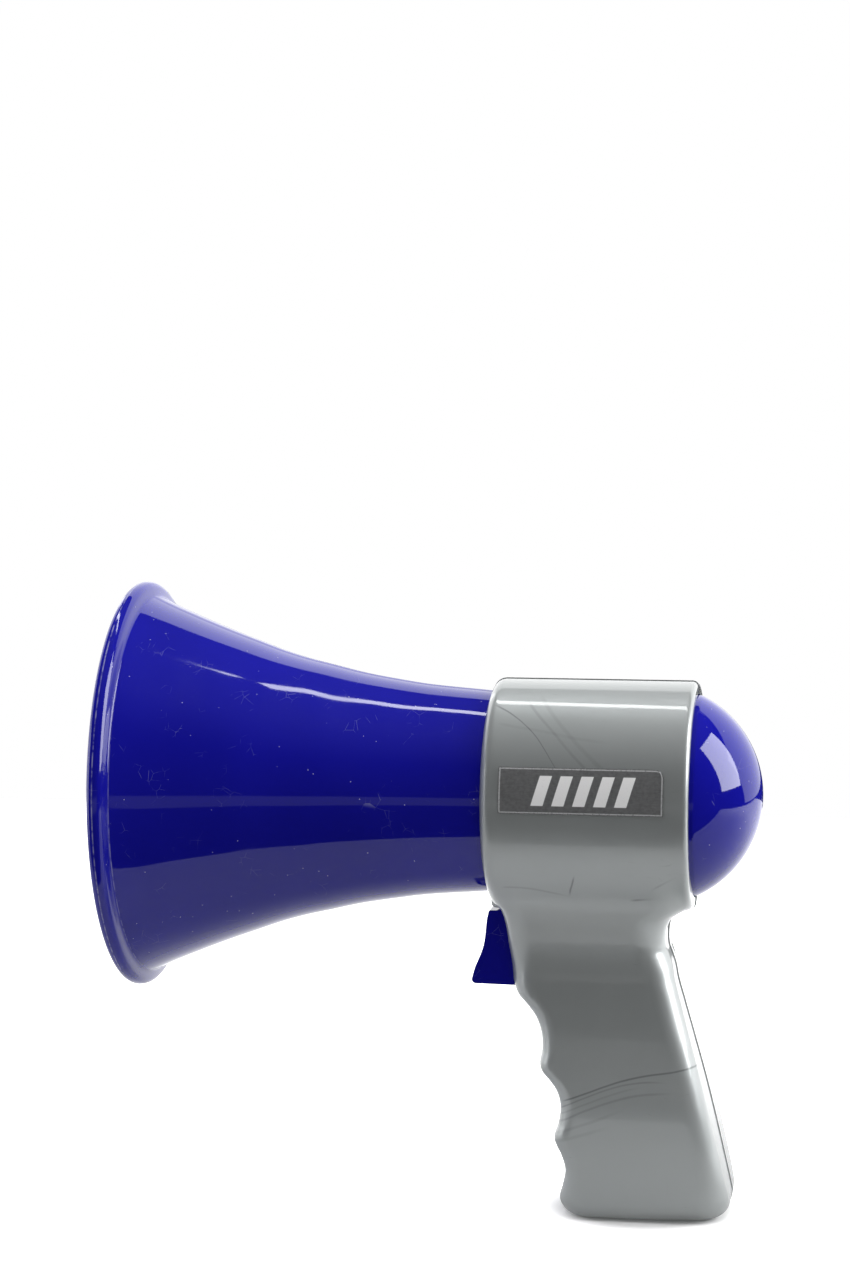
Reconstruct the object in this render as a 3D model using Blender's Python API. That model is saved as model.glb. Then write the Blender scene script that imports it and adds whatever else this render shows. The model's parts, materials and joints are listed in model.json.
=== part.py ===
"""Toy handheld megaphone: a flared horn and a domed microphone cap held between two pistol-grip shells.

Sizes are in millimetres and are turned into metres when a mesh is made. The hub empty stands on the horn's axis,
1.6 mm behind the body's front face. From it +X is the megaphone's left side, +Y runs back towards the dome and +Z
is up, so the horn points along -Y. The world origin is under the middle of the object, at the grip's base.
"""

import math

import bmesh
import bpy
import numpy as np
from mathutils import Matrix, Vector

MM = 0.001
GAP = 0.3  # clearance between pieces that meet
PARTING = 0.15  # half of the line between the two shells
SHARP = math.radians(35)  # edges that turn further than this are drawn sharp
# The shells' many cuts meet along fine slivers, where the exact solver leaves open edges.
SHELL_SOLVER = "MANIFOLD"

# ---------------------------------------------------------------- driving sizes
MOUTH_R = 65.0
RIM_R = 2.55
HORN_FRONT = -117.3
HORN_WALL = 0.7
TAIL_R = 30.4
LEDGE_Y = -18.0  # the grille's seat
SEAT_Y = -6.0  # the speaker's seat
NECK_R = 31.5  # horn and dome where they enter the body
COLLAR_R = 32.0  # openings in the shells around them
FLANGE_R = 33.2
BODY_R = 36.0
BODY_START, BODY_END = -1.6, 62.6
BODY_WALL = 2.4
DOME_R = 35.0
DOME_CENTRE = 48.3
GRIP_WALL = 2.8
GRIP_BASE = -133.6
DOME_TIP = DOME_CENTRE + DOME_R
HUB_PLACE = (0.0, -(HORN_FRONT + DOME_TIP) / 2, -GRIP_BASE)

# Horn's outer skin as (place along Y, radius), from behind the rim to the collar.
HORN_SKIN = [
    (-111.6, 60.2), (-102.0, 55.8), (-90.0, 50.9), (-77.3, 46.2), (-66.0, 42.4), (-54.0, 39.3), (-43.6, 36.85),
    (-33.2, 35.05), (-19.0, 33.2), (0.0, NECK_R),
]

# Grip outlines as (height, place): front with its three finger grooves, back, and half width.
GRIP_FRONT = [
    (-18.0, 0.6), (-31.0, -1.2), (-35.0, -1.0), (-37.0, 2.8), (-46.0, 4.3), (-54.0, 5.7), (-61.0, 6.8), (-64.0, 8.6),
    (-69.0, 13.3), (-74.5, 16.0), (-80.0, 16.1), (-84.5, 15.4), (-87.0, 16.3), (-90.2, 19.3), (-96.5, 22.2),
    (-102.5, 21.6), (-107.5, 20.2), (-112.0, 21.7), (-118.0, 23.9), (-123.0, 22.9), (-127.5, 21.6), (-136.0, 22.0),
]
GRIP_BACK = [
    (-18.0, 61.4), (-30.0, 61.6), (-34.0, 60.8), (-36.5, 57.0), (-39.0, 55.0), (-43.0, 54.3), (-48.0, 54.5),
    (-51.5, 56.2), (-58.0, 57.2), (-66.0, 59.7), (-90.0, 66.8), (-114.0, 72.9), (-126.0, 75.4), (-136.0, 76.6),
]
GRIP_HALF = [
    (-18.0, 27.5), (-24.0, 26.9), (-27.0, 25.0), (-30.0, 22.6), (-33.0, 20.3), (-36.0, 18.7), (-40.0, 17.9),
    (-58.0, 17.8), (-66.0, 18.6), (-74.0, 19.9), (-82.0, 20.6), (-100.0, 21.8), (-116.0, 21.5), (-136.0, 20.2),
]
GRIP_LEVELS = [
    -18, -24, -27, -30, -32.5, -35, -37, -40, -44, -48, -51.5, -57, -62, -65, -69, -74.5, -80, -84.5, -87, -90.2,
    -96.5, -102.5, -107.5, -112, -118, -123, -127.5, -129.5,
]
BASE_ROUND = 3.2
BASE_WALL = 1.6
FRONT_CORNER = 6.0
BACK_CORNER = 9.0

# Trigger
PIVOT = Vector((0.0, 9.0, -40.5))
PIN_R = 1.25
PIN_HALF = 11.0
TRIGGER_HALF = 7.0
SLOT_HALF = 8.0
SLOT_TOP = -36.3
SLOT_BOTTOM = -62.0
SPRING_Z = -52.0

# Battery compartment, leaning back with the grip
LEAN = math.radians(15.3)
CELLS = Vector((0.0, 48.6, -99.5))
CELL_R = 7.2
CELL_LENGTH = 50.5
CELL_PITCH = 7.45

# Screws through the shells, as (y, z)
CASE_SCREWS = [(13.5, 22.0), (49.5, 22.0), (45.5, -44.5), (33.0, -62.0), (30.5, -127.0)]
SCREW_R = 1.3
HEAD_R = 2.6
SHOULDER = -7.0  # where a screw head seats, along X

# Battery door, in the battery compartment's own frame
DOOR_HALF = 13.2
DOOR_FOOT = -27.0
DOOR_HEAD = 36.0
DOOR_SCREW = (0.0, 32.0)
DOOR_SEAT = -17.5

# ---------------------------------------------------------------- materials: colour, roughness, metallic
FINISHES = {
    "blue_gloss": ((0.015, 0.012, 0.33), 0.22, 0.0),
    "silver_gloss": ((0.33, 0.35, 0.35), 0.32, 0.25),
    "label": ((0.16, 0.16, 0.17), 0.45, 0.0),
    "steel": ((0.62, 0.62, 0.64), 0.3, 1.0),
    "brass": ((0.72, 0.55, 0.25), 0.35, 1.0),
    "black_plastic": ((0.03, 0.03, 0.032), 0.5, 0.0),
    "paper": ((0.09, 0.085, 0.08), 0.9, 0.0),
    "foam": ((0.05, 0.05, 0.05), 0.95, 0.0),
    "magnet": ((0.12, 0.12, 0.13), 0.5, 0.6),
    "board": ((0.45, 0.3, 0.12), 0.55, 0.0),
    "cell": ((0.1, 0.1, 0.11), 0.35, 0.3),
    "lead_red": ((0.5, 0.03, 0.02), 0.5, 0.0),
    "lead_black": ((0.02, 0.02, 0.02), 0.5, 0.0),
}


def clear_scene():
    for old in list(bpy.data.objects):
        bpy.data.objects.remove(old, do_unlink=True)


def finish_of(name):
    """The named finish as a Principled material, made once."""
    known = bpy.data.materials.get(name)
    if known:
        return known
    colour, roughness, metallic = FINISHES[name]
    material = bpy.data.materials.new(name)
    material.use_nodes = True
    shader = material.node_tree.nodes["Principled BSDF"]
    shader.inputs["Base Color"].default_value = (*colour, 1.0)
    shader.inputs["Roughness"].default_value = roughness
    shader.inputs["Metallic"].default_value = metallic
    return material


def place(name, bm, finish, location=(0, 0, 0), rotation=(0, 0, 0)):
    """Turns a bmesh in millimetres into a named object under the hub."""
    bmesh.ops.scale(bm, vec=(MM, MM, MM), verts=bm.verts)
    mesh = bpy.data.meshes.new(name)
    bm.to_mesh(mesh)
    bm.free()
    mesh.materials.append(finish_of(finish))
    mesh.shade_smooth()
    mesh.set_sharp_from_angle(angle=SHARP)
    obj = bpy.data.objects.new(name, mesh)
    bpy.context.scene.collection.objects.link(obj)
    obj.parent = bpy.data.objects["hub"]
    obj.location = Vector(location) * MM
    obj.rotation_euler = rotation
    return obj


def cutter(bm, location=(0, 0, 0), rotation=(0, 0, 0)):
    """A helper solid for a Boolean. It is removed once it has been used."""
    obj = place("cutter", bm, "steel", location, rotation)
    obj.hide_render = True
    obj.display_type = "WIRE"
    return obj


def combine(target, operation, *tools, solver="EXACT"):
    """Applies one Boolean for each tool to the target, and removes the tools."""
    for tool in tools:
        step = target.modifiers.new("combine", "BOOLEAN")
        step.operation = operation
        step.solver = solver
        step.object = tool
        bpy.context.view_layer.update()
        graph = bpy.context.evaluated_depsgraph_get()
        made = bpy.data.meshes.new_from_object(target.evaluated_get(graph))
        target.modifiers.clear()
        target.data = made
        bpy.data.objects.remove(tool, do_unlink=True)
    target.data.set_sharp_from_angle(angle=SHARP)
    return target


def cut(target, *tools, solver="EXACT"):
    return combine(target, "DIFFERENCE", *tools, solver=solver)


def join(target, *tools, solver="EXACT"):
    return combine(target, "UNION", *tools, solver=solver)


def twin(obj):
    """A second object with its own copy of the mesh."""
    copy = obj.copy()
    copy.data = obj.data.copy()
    bpy.context.scene.collection.objects.link(copy)
    return copy


# ---------------------------------------------------------------- shapes in millimetres
def block(low, high):
    bm = bmesh.new()
    low, high = Vector(low), Vector(high)
    size = high - low
    bmesh.ops.create_cube(bm, size=1.0, matrix=Matrix.Translation((low + high) / 2) @ Matrix.Diagonal((*size, 1)))
    return bm


def rod(radius, start, end, sides=16):
    """A round bar from start to end."""
    bm = bmesh.new()
    start, end = Vector(start), Vector(end)
    run = end - start
    turn = Vector((0, 0, 1)).rotation_difference(run).to_matrix().to_4x4()
    bmesh.ops.create_cone(
        bm, cap_ends=True, segments=sides, radius1=radius, radius2=radius, depth=run.length,
        matrix=Matrix.Translation((start + end) / 2) @ turn,
    )
    return bm


def turned(profile, sides=48):
    """Spins a profile of (y, radius) points round the Y axis. It is closed, or starts and ends on the axis."""
    bm = bmesh.new()
    points = [bm.verts.new((radius, y, 0.0)) for y, radius in profile]
    pairs = list(zip(points, points[1:]))
    if profile[0][1] > 0 or profile[-1][1] > 0:
        pairs.append((points[-1], points[0]))
    edges = [bm.edges.new(pair) for pair in pairs]
    bmesh.ops.spin(
        bm, geom=points + edges, cent=(0, 0, 0), axis=(0, 1, 0), angle=math.tau, steps=sides, use_merge=True
    )
    bmesh.ops.remove_doubles(bm, verts=bm.verts, dist=1e-3)
    bmesh.ops.dissolve_degenerate(bm, dist=1e-4, edges=bm.edges)
    bmesh.ops.recalc_face_normals(bm, faces=bm.faces)
    return bm


def arc(centre, radius, first, last, steps):
    """Points of an arc as (y, radius or z) pairs, with angles in degrees from +Y."""
    turns = np.radians(np.linspace(first, last, steps + 1))
    return [(centre[0] + radius * math.cos(t), centre[1] + radius * math.sin(t)) for t in turns]


def extruded(outline, half, centre=0.0):
    """A (y, z) outline pushed along X to both sides of centre."""
    bm = bmesh.new()
    face = bm.faces.new([bm.verts.new((centre - half, y, z)) for y, z in outline])
    grown = bmesh.ops.extrude_face_region(bm, geom=[face])
    moved = [v for v in grown["geom"] if isinstance(v, bmesh.types.BMVert)]
    bmesh.ops.translate(bm, verts=moved, vec=(2 * half, 0, 0))
    bmesh.ops.recalc_face_normals(bm, faces=bm.faces)
    return bm


def lofted(rings):
    """Bridges equal rings of points in order, and closes both ends."""
    bm = bmesh.new()
    loops = []
    for ring in rings:
        verts = [bm.verts.new(point) for point in ring]
        loops.append([bm.edges.new((a, b)) for a, b in zip(verts, verts[1:] + verts[:1])])
    for lower, upper in zip(loops, loops[1:]):
        bmesh.ops.bridge_loops(bm, edges=lower + upper)
    bmesh.ops.holes_fill(bm, edges=[edge for edge in bm.edges if edge.is_boundary], sides=0)
    bmesh.ops.recalc_face_normals(bm, faces=bm.faces)
    return bm


def coil(radius_start, radius_end, wire, length, turns, per_turn=12, sides=5):
    """A helical spring along +Z from z = 0, with its wire's middle at the given radii."""
    bm = bmesh.new()
    count = int(turns * per_turn)
    rings = []
    for i in range(count + 1):
        share = i / count
        turn = math.tau * turns * share
        radius = radius_start + (radius_end - radius_start) * share
        outward = Vector((math.cos(turn), math.sin(turn), 0))
        middle = outward * radius + Vector((0, 0, wire + (length - 2 * wire) * share))
        ring = []
        for k in range(sides):
            a = math.tau * k / sides
            ring.append(bm.verts.new(middle + outward * wire * math.cos(a) + Vector((0, 0, wire * math.sin(a)))))
        rings.append(ring)
    for lower, upper in zip(rings, rings[1:]):
        for k in range(sides):
            bm.faces.new((lower[k], lower[k - 1], upper[k - 1], upper[k]))
    bm.faces.new(rings[0])
    bm.faces.new(rings[-1][::-1])
    bmesh.ops.recalc_face_normals(bm, faces=bm.faces)
    return bm


def lead(name, points, finish, radius=0.7):
    """An insulated wire as a bevelled curve through the given points, smoothed by a Catmull-Rom spline."""
    route = [Vector(p) for p in points]
    padded = [route[0] * 2 - route[1], *route, route[-1] * 2 - route[-2]]
    smooth = []
    for a, b, c, d in zip(padded, padded[1:], padded[2:], padded[3:]):
        for t in (0.0, 0.25, 0.5, 0.75):
            even = 2 * b + (c - a) * t
            bend = (2 * a - 5 * b + 4 * c - d) * t**2 + (3 * b - a - 3 * c + d) * t**3
            smooth.append((even + bend) / 2)
    smooth.append(route[-1])
    curve = bpy.data.curves.new(name, "CURVE")
    curve.dimensions = "3D"
    curve.bevel_depth = radius * MM
    curve.bevel_resolution = 1
    curve.use_fill_caps = True
    spline = curve.splines.new("POLY")
    spline.points.add(len(smooth) - 1)
    for point, spot in zip(spline.points, smooth):
        point.co = (*(spot * MM), 1.0)
    curve.materials.append(finish_of(finish))
    obj = bpy.data.objects.new(name, curve)
    bpy.context.scene.collection.objects.link(obj)
    obj.parent = bpy.data.objects["hub"]
    return obj


# ---------------------------------------------------------------- horn and what closes its throat
def horn():
    """The flared horn: a thin wall, a rolled rim open at its back, a ledge for the grille and a captured flange."""
    rim = arc((HORN_FRONT + RIM_R, MOUTH_R - RIM_R), RIM_R, 180, 90, 2) + [(-112.9, MOUTH_R), (-111.5, 64.2)]
    rim += [(-111.5, 63.3), (-115.2, 63.3), (-115.2, 62.1)]
    rim[0] = (HORN_FRONT, MOUTH_R - RIM_R)
    inside = [(y, radius - HORN_WALL) for y, radius in HORN_SKIN if -110 < y < -19]
    inside.append((LEDGE_Y, HORN_SKIN[-2][1] - HORN_WALL))
    seats = [(SEAT_Y + 1.2, 29.4), (SEAT_Y + 1.2, 23.5), (SEAT_Y, 23.5), (SEAT_Y, 31.2)]
    seats += [(LEDGE_Y + 1.4, 32.2), (LEDGE_Y + 1.4, 30.6), (LEDGE_Y, 30.6)]
    profile = rim + HORN_SKIN
    profile += [(2.9, NECK_R), (2.9, FLANGE_R), (4.7, FLANGE_R), (4.7, TAIL_R), (9.0, TAIL_R), (9.0, TAIL_R - 1.0)]
    profile += seats + inside[::-1]
    profile += [(-115.3, 60.65)]
    return place("horn", turned(profile, 40), "blue_gloss")


def speaker_grille():
    """The plate across the throat, with a raised round centre and four slots."""
    plate = [(-21.4, 0.0), (-21.4, 19.4), (-20.8, 20.0), (-19.6, 20.0), (-19.6, 32.0), (-18.3, 32.0), (-18.3, 0.0)]
    grille = place("speaker_grille", turned(plate, 40), "blue_gloss")
    slots = []
    for z, half in ((14.1, 12.2), (4.7, 17.6), (-4.7, 17.6), (-14.1, 12.2)):
        slots.append(cutter(block((-half, -25, z - 1.6), (half, -15, z + 1.6))))
    return cut(grille, *slots)


def speaker():
    """A 50 mm speaker in the horn's tail: foam gasket, steel basket, paper cone, magnet and plastic retainer."""
    front = SEAT_Y + 1.5

    def ring(name, depths, inner, outer, finish):
        near, far = front + depths[0], front + depths[1]
        place(name, turned([(near, inner), (near, outer), (far, outer), (far, inner)], 32), finish)

    ring("speaker_gasket", (0.0, 0.7), 22.0, 25.0, "foam")
    ring("speaker_retainer", (1.9, 3.2), 23.6, 29.1, "black_plastic")
    basket = [(10.4, 0.0), (10.4, 12.5), (1.4, 22.2), (1.0, 22.2), (1.0, 25.0), (1.6, 25.0), (1.6, 22.8)]
    basket += [(10.9, 13.0), (10.9, 0.0)]
    place("speaker_basket", turned([(front + y, r) for y, r in basket], 32), "steel")
    cone = [(0.9, 0.0), (1.8, 3.6), (3.4, 6.0), (3.0, 8.0), (0.9, 19.0), (0.9, 21.6), (1.4, 21.6), (1.5, 19.2)]
    cone += [(3.7, 8.2), (4.3, 6.4), (4.3, 0.0)]
    place("speaker_cone", turned([(front + y, r) for y, r in cone], 32), "paper")
    magnet = [(11.2, 0.0), (11.2, 9.0), (14.6, 9.0), (14.6, 0.0)]
    place("speaker_magnet", turned([(front + y, r) for y, r in magnet], 24), "magnet")


# ---------------------------------------------------------------- dome and microphone
def rear_dome():
    """The round cap on the body's back, with a boss for the microphone and a rosette of small holes."""
    wall = 2.5
    rise = math.degrees(math.asin(NECK_R / DOME_R))
    outside = [(max(y, 0.0), max(r, 0.0)) for y, r in arc((DOME_CENTRE, 0), DOME_R, rise, 0, 6)]
    outside[-1] = (DOME_TIP, 0.0)
    inner_r = DOME_R - wall
    boss_turn = math.degrees(math.asin(7.4 / inner_r))
    inside = arc((DOME_CENTRE, 0), inner_r, boss_turn, 60.0, 4)
    hollow = math.degrees(math.asin(6.0 / inner_r))
    crown = arc((DOME_CENTRE, 0), inner_r, 0, hollow, 2)
    crown[0] = (DOME_CENTRE + inner_r, 0.0)
    profile = crown + [(74.0, 6.0), (74.0, 7.4)] + inside
    profile += [(60.0, NECK_R - wall), (57.2, NECK_R - wall), (57.2, FLANGE_R), (59.1, FLANGE_R), (59.1, NECK_R)]
    profile += outside
    dome = place("rear_dome", turned(profile, 36), "blue_gloss")
    spots = [(0.0, 0.0)] + [(3.0 * math.cos(a), 3.0 * math.sin(a)) for a in np.arange(6) * math.tau / 6]
    holes = [cutter(rod(0.6, (x, 76, z), (x, 90, z), 8)) for x, z in spots]
    return cut(dome, *holes)


def microphone():
    capsule = [(74.5, 0.0), (74.5, 4.7), (80.2, 4.7), (80.2, 0.0)]
    place("microphone_capsule", turned(capsule, 20), "steel")
    place("microphone_sleeve", turned([(73.6, 5.05), (73.6, 5.7), (79.4, 5.7), (79.4, 5.05)], 24), "foam")


# ---------------------------------------------------------------- the two shells
def level_of(keys, z):
    heights = [key[0] for key in keys][::-1]
    places = [key[1] for key in keys][::-1]
    return float(np.interp(z, heights, places))


def grip_ring(z, inset):
    """The grip's section at height z: a rounded rectangle with small front corners and larger back ones."""
    half = level_of(GRIP_HALF, z) - inset
    front = level_of(GRIP_FRONT, z) + inset
    back = level_of(GRIP_BACK, z) - inset
    front_r = max(FRONT_CORNER - inset, 1.5)
    back_r = max(BACK_CORNER - inset, 3.0)
    ring = []
    for side, end, corner, first in (
        (1, front, front_r, -90), (1, back, back_r, 0), (-1, back, back_r, 90), (-1, front, front_r, 180),
    ):
        centre_x = side * (half - corner)
        centre_y = end + corner if end == front else end - corner
        for t in np.radians(np.linspace(first, first + 90, 4)):
            ring.append((centre_x + corner * math.cos(t), centre_y + corner * math.sin(t), z))
    return ring


def grip(inset):
    """The grip as one loft. The outer one is rounded off at its base, and the inner one has half the rings."""
    levels = GRIP_LEVELS[::2] if inset else GRIP_LEVELS
    rings = [grip_ring(z, inset) for z in levels]
    if inset:
        rings.append([(x, y, GRIP_BASE + BASE_WALL) for x, y, z in grip_ring(levels[-1], inset)])
        return lofted(rings)
    for turn in (20, 45, 68, 90):
        drawn_in = BASE_ROUND * (1 - math.cos(math.radians(turn)))
        z = GRIP_BASE + BASE_ROUND * (1 - math.sin(math.radians(turn)))
        rings.append([(x, y, z) for x, y, _ in grip_ring(z, drawn_in)])
    return lofted(rings)


def body_outside():
    profile = [(BODY_START, 0.0)] + arc((BODY_START + 4.0, BODY_R - 4.0), 4.0, 180, 90, 4)
    profile += arc((BODY_END - 1.8, BODY_R - 1.8), 1.8, 90, 0, 2) + [(BODY_END, 0.0)]
    return join(place("body", turned(profile, 48), "silver_gloss"), cutter(grip(0.0)), solver=SHELL_SOLVER)


def body_hollow():
    """The space inside the shells, with the round openings for the horn and the dome."""
    inner = BODY_R - BODY_WALL
    profile = [(-6.0, 0.0), (-6.0, COLLAR_R), (2.5, COLLAR_R), (2.5, inner), (59.5, inner), (59.5, COLLAR_R)]
    profile += [(66.0, COLLAR_R), (66.0, 0.0)]
    return join(cutter(turned(profile, 48)), cutter(grip(GRIP_WALL)), solver=SHELL_SOLVER)


def kept_inside(side):
    """Ribs, bosses and posts that stay in a shell: solids taken out of its hollow, before the hollow is cut."""
    far = 45.0 * side
    kept = []
    for start, end in ((5.1, 6.9), (55.1, 56.8)):
        ring = [(start, 31.0), (start, 40.0), (end, 40.0), (end, 31.0)]
        kept.append(cutter(turned(ring, 48)))
    for y, z in CASE_SCREWS:
        kept.append(cutter(rod(3.5, (0, y, z), (far, y, z))))
    kept.append(cutter(rod(3.0, (8.3 * side, PIVOT.y, PIVOT.z), (far, PIVOT.y, PIVOT.z))))
    low, high = sorted((0.0, far))
    kept.append(cutter(block((low, 16.2, -58.0), (high, 17.8, -46.5))))
    kept.append(cutter(block((low, 17.4, -73.5), (high, 23.0, -71.2))))
    if side > 0:
        for y, z in BOARD_POSTS:
            kept.append(cutter(rod(2.6, (BOARD_X + 1.1, y, z), (far, y, z), 12)))
    return kept


def shell(outside, side):
    """One half of the case: everything on its own side of the parting line."""
    name = "left_shell" if side > 0 else "right_shell"
    half = twin(outside)
    half.name = name
    edge, far = PARTING * side, 60.0 * side
    low, high = sorted((edge, far))
    combine(half, "INTERSECT", cutter(block((low, -20, -150), (high, 80, 50))), solver=SHELL_SOLVER)
    hollow = cut(body_hollow(), *kept_inside(side), solver=SHELL_SOLVER)
    cut(half, hollow, solver=SHELL_SOLVER)
    cut(half, cutter(block((-SLOT_HALF, -12, SLOT_BOTTOM), (SLOT_HALF, 12.0, SLOT_TOP))), solver=SHELL_SOLVER)
    pivot_start = (7.0 * side, PIVOT.y, PIVOT.z)
    cut(half, cutter(rod(PIN_R + 0.35, pivot_start, ((PIN_HALF + 0.4) * side, PIVOT.y, PIVOT.z))), solver=SHELL_SOLVER)
    for y, z in CASE_SCREWS:
        if side > 0:
            cut(half, cutter(rod(SCREW_R + GAP, (-2, y, z), (12, y, z), 12)), solver=SHELL_SOLVER)
        else:
            cut(half, cutter(rod(SCREW_R + GAP, (2, y, z), (SHOULDER - 2, y, z), 12)), solver=SHELL_SOLVER)
            cut(half, cutter(rod(HEAD_R + GAP, (SHOULDER, y, z), (-60, y, z))), solver=SHELL_SOLVER)
    if side > 0:
        for y, z in BOARD_POSTS:
            cut(half, cutter(rod(1.2, (BOARD_X, y, z), (BOARD_X + 7.5, y, z), 10)), solver=SHELL_SOLVER)
    return half


def leaning(low, high):
    """A cutter box in the battery compartment's own leaning frame."""
    return cutter(block(low, high), CELLS, (LEAN, 0, 0))


def battery_door(outside, right_shell):
    """The door is the piece of the right shell inside a leaning rectangle. The shell keeps a gap all round it.

    A tongue at its foot goes behind the shell's wall, and one screw at its head goes into the tray's boss.
    """
    door = twin(outside)
    door.name = "battery_door"
    combine(door, "INTERSECT", leaning((-60, -DOOR_HALF, DOOR_FOOT), (-5, DOOR_HALF, DOOR_HEAD)), solver=SHELL_SOLVER)
    cut(door, cutter(grip(GRIP_WALL)), solver=SHELL_SOLVER)
    join(door, leaning((-18.6, -6.0, DOOR_FOOT - 4.2), (-17.2, 6.0, DOOR_FOOT + 3.0)), solver=SHELL_SOLVER)
    y, z = DOOR_SCREW
    cut(door, cutter(rod(SCREW_R + GAP, (-40, y, z), (-10, y, z), 12), CELLS, (LEAN, 0, 0)), solver=SHELL_SOLVER)
    cut(door, cutter(rod(HEAD_R + GAP, (-40, y, z), (DOOR_SEAT, y, z)), CELLS, (LEAN, 0, 0)), solver=SHELL_SOLVER)
    half, foot, head = DOOR_HALF + GAP, DOOR_FOOT - GAP, DOOR_HEAD + GAP
    cut(right_shell, leaning((-60, -half, foot), (-12.0, half, head)), solver=SHELL_SOLVER)
    cut(right_shell, leaning((-18.9, -6.3, foot - 4.4), (-12.0, 6.3, foot + 1.0)), solver=SHELL_SOLVER)
    return door


# ---------------------------------------------------------------- screws
def screw(name, length, location, rotation):
    """A pan-head screw lying along +Z with its head at z = 0, its shank tapering at the tip and a cross slot."""
    profile = [(-1.7, 0.0), (-1.7, 1.6), (-1.0, HEAD_R), (0.0, HEAD_R), (0.0, SCREW_R)]
    profile += [(length - 1.2, SCREW_R), (length, 0.0)]
    bm = turned(profile, 14)
    bmesh.ops.rotate(bm, verts=bm.verts, matrix=Matrix.Rotation(math.radians(90), 3, "X"))
    obj = place(name, bm, "steel", location, rotation)
    for low, high in (((-1.7, -0.35, -2.5), (1.7, 0.35, -0.7)), ((-0.35, -1.7, -2.5), (0.35, 1.7, -0.75))):
        cut(obj, cutter(block(low, high), location, rotation))
    return obj


def screws():
    along_x = (0, math.radians(90), 0)
    for number, (y, z) in enumerate(CASE_SCREWS, 1):
        screw(f"case_screw_{number}", 17.5, (SHOULDER - GAP, y, z), along_x)
    spot = Matrix.Rotation(LEAN, 3, "X") @ Vector((DOOR_SEAT - GAP, *DOOR_SCREW)) + CELLS
    screw("door_screw", 9.0, spot, along_x)


# ---------------------------------------------------------------- trigger group
def trigger():
    """The trigger, hollow from behind, with two ears that stop it in its slot. Its origin is on its hinge."""
    front = [
        (-2.6, -37.6), (-3.0, -40.4), (-3.3, -43.4), (-3.8, -48.1), (-5.0, -51.6), (-6.7, -55.6), (-7.8, -59.0),
        (-7.3, -60.4), (-5.9, -60.9),
    ]
    outline = front + [(13.2, -61.2), (13.2, -58.8), (12.4, -58.6), (12.4, -40.0), (11.0, -37.0)]
    finger = place("trigger", extruded([(y - PIVOT.y, z - PIVOT.z) for y, z in outline], TRIGGER_HALF),
                   "blue_gloss", PIVOT)
    join(finger, cutter(block((-9.6, 10.6, -58.0), (9.6, 12.1, -47.0))))
    cut(finger, cutter(block((-5.5, -1.0, -58.9), (5.5, 20.0, -44.0))))
    pad = extruded([(-9.5, -57.6), (-6.75, -57.6), (-5.9, -55.6), (-4.3, -51.6), (-3.1, -48.1), (-2.6, -43.4),
                    (-2.3, -40.0), (-9.5, -40.0)], 5.0)
    cut(finger, cutter(pad))
    cut(finger, cutter(rod(PIN_R + 0.35, (-12, PIVOT.y, PIVOT.z), (12, PIVOT.y, PIVOT.z))))
    return finger


def trigger_parts():
    place("trigger_pin", rod(PIN_R, (-PIN_HALF, 0, 0), (PIN_HALF, 0, 0)), "steel", PIVOT)
    spring = coil(3.2, 3.2, 0.35, 16.4, 6, 10)
    place("trigger_spring", spring, "steel", (0, -0.6, SPRING_Z), (math.radians(-90), 0, 0))
    place("trigger_switch", block((-6.4, 17.6, -70.8), (6.4, 22.6, -64.4)), "black_plastic")
    lever = [(16.9, -70.4), (16.9, -65.0), (16.15, -61.8), (16.15, -58.9), (16.5, -58.9), (16.5, -61.7)]
    lever += [(17.25, -64.9), (17.25, -70.4)]
    place("switch_lever", extruded(lever, 2.2), "brass")


# ---------------------------------------------------------------- labels
def label(name, side):
    """A printed label bent round the body's side."""
    thin, radius = 0.25, BODY_R + GAP
    turns = np.radians(np.linspace(-3.1, 19.6, 7))
    ring = [(side * radius * math.cos(t), radius * math.sin(t)) for t in turns]
    ring += [(side * (radius + thin) * math.cos(t), (radius + thin) * math.sin(t)) for t in turns[::-1]]
    return place(name, lofted([[(x, y, z) for x, z in ring] for y in (4.6, 55.2)]), "label")


# ---------------------------------------------------------------- batteries and their tray
def tray():
    """The open-sided battery tray: a rounded box, open towards the door."""
    half, corner, wall, end = 16.1, 5.0, 1.0, 29.0

    def ring(inset, z):
        points = []
        for cx, cy, first in ((1, 1, 0), (-1, 1, 90), (-1, -1, 180), (1, -1, 270)):
            for t in np.radians(np.linspace(first, first + 90, 4)):
                r = corner - inset
                points.append((cx * (half - corner) + r * math.cos(t), cy * (half - corner) + r * math.sin(t), z))
        return points

    box = place("battery_tray", lofted([ring(0, -end), ring(0, end)]), "black_plastic", CELLS, (LEAN, 0, 0))
    cut(box, cutter(lofted([ring(wall, -end + wall), ring(wall, end - wall)]), CELLS, (LEAN, 0, 0)))
    cut(box, leaning((-30, -12.0, -end + wall), (-10, 12.0, end - wall)))
    y, z = DOOR_SCREW
    join(box, cutter(rod(3.3, (-15.8, y, z), (-6.0, y, z)), CELLS, (LEAN, 0, 0)))
    return cut(box, cutter(rod(SCREW_R + GAP, (-30, y, z), (-7.5, y, z), 12), CELLS, (LEAN, 0, 0)))


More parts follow.
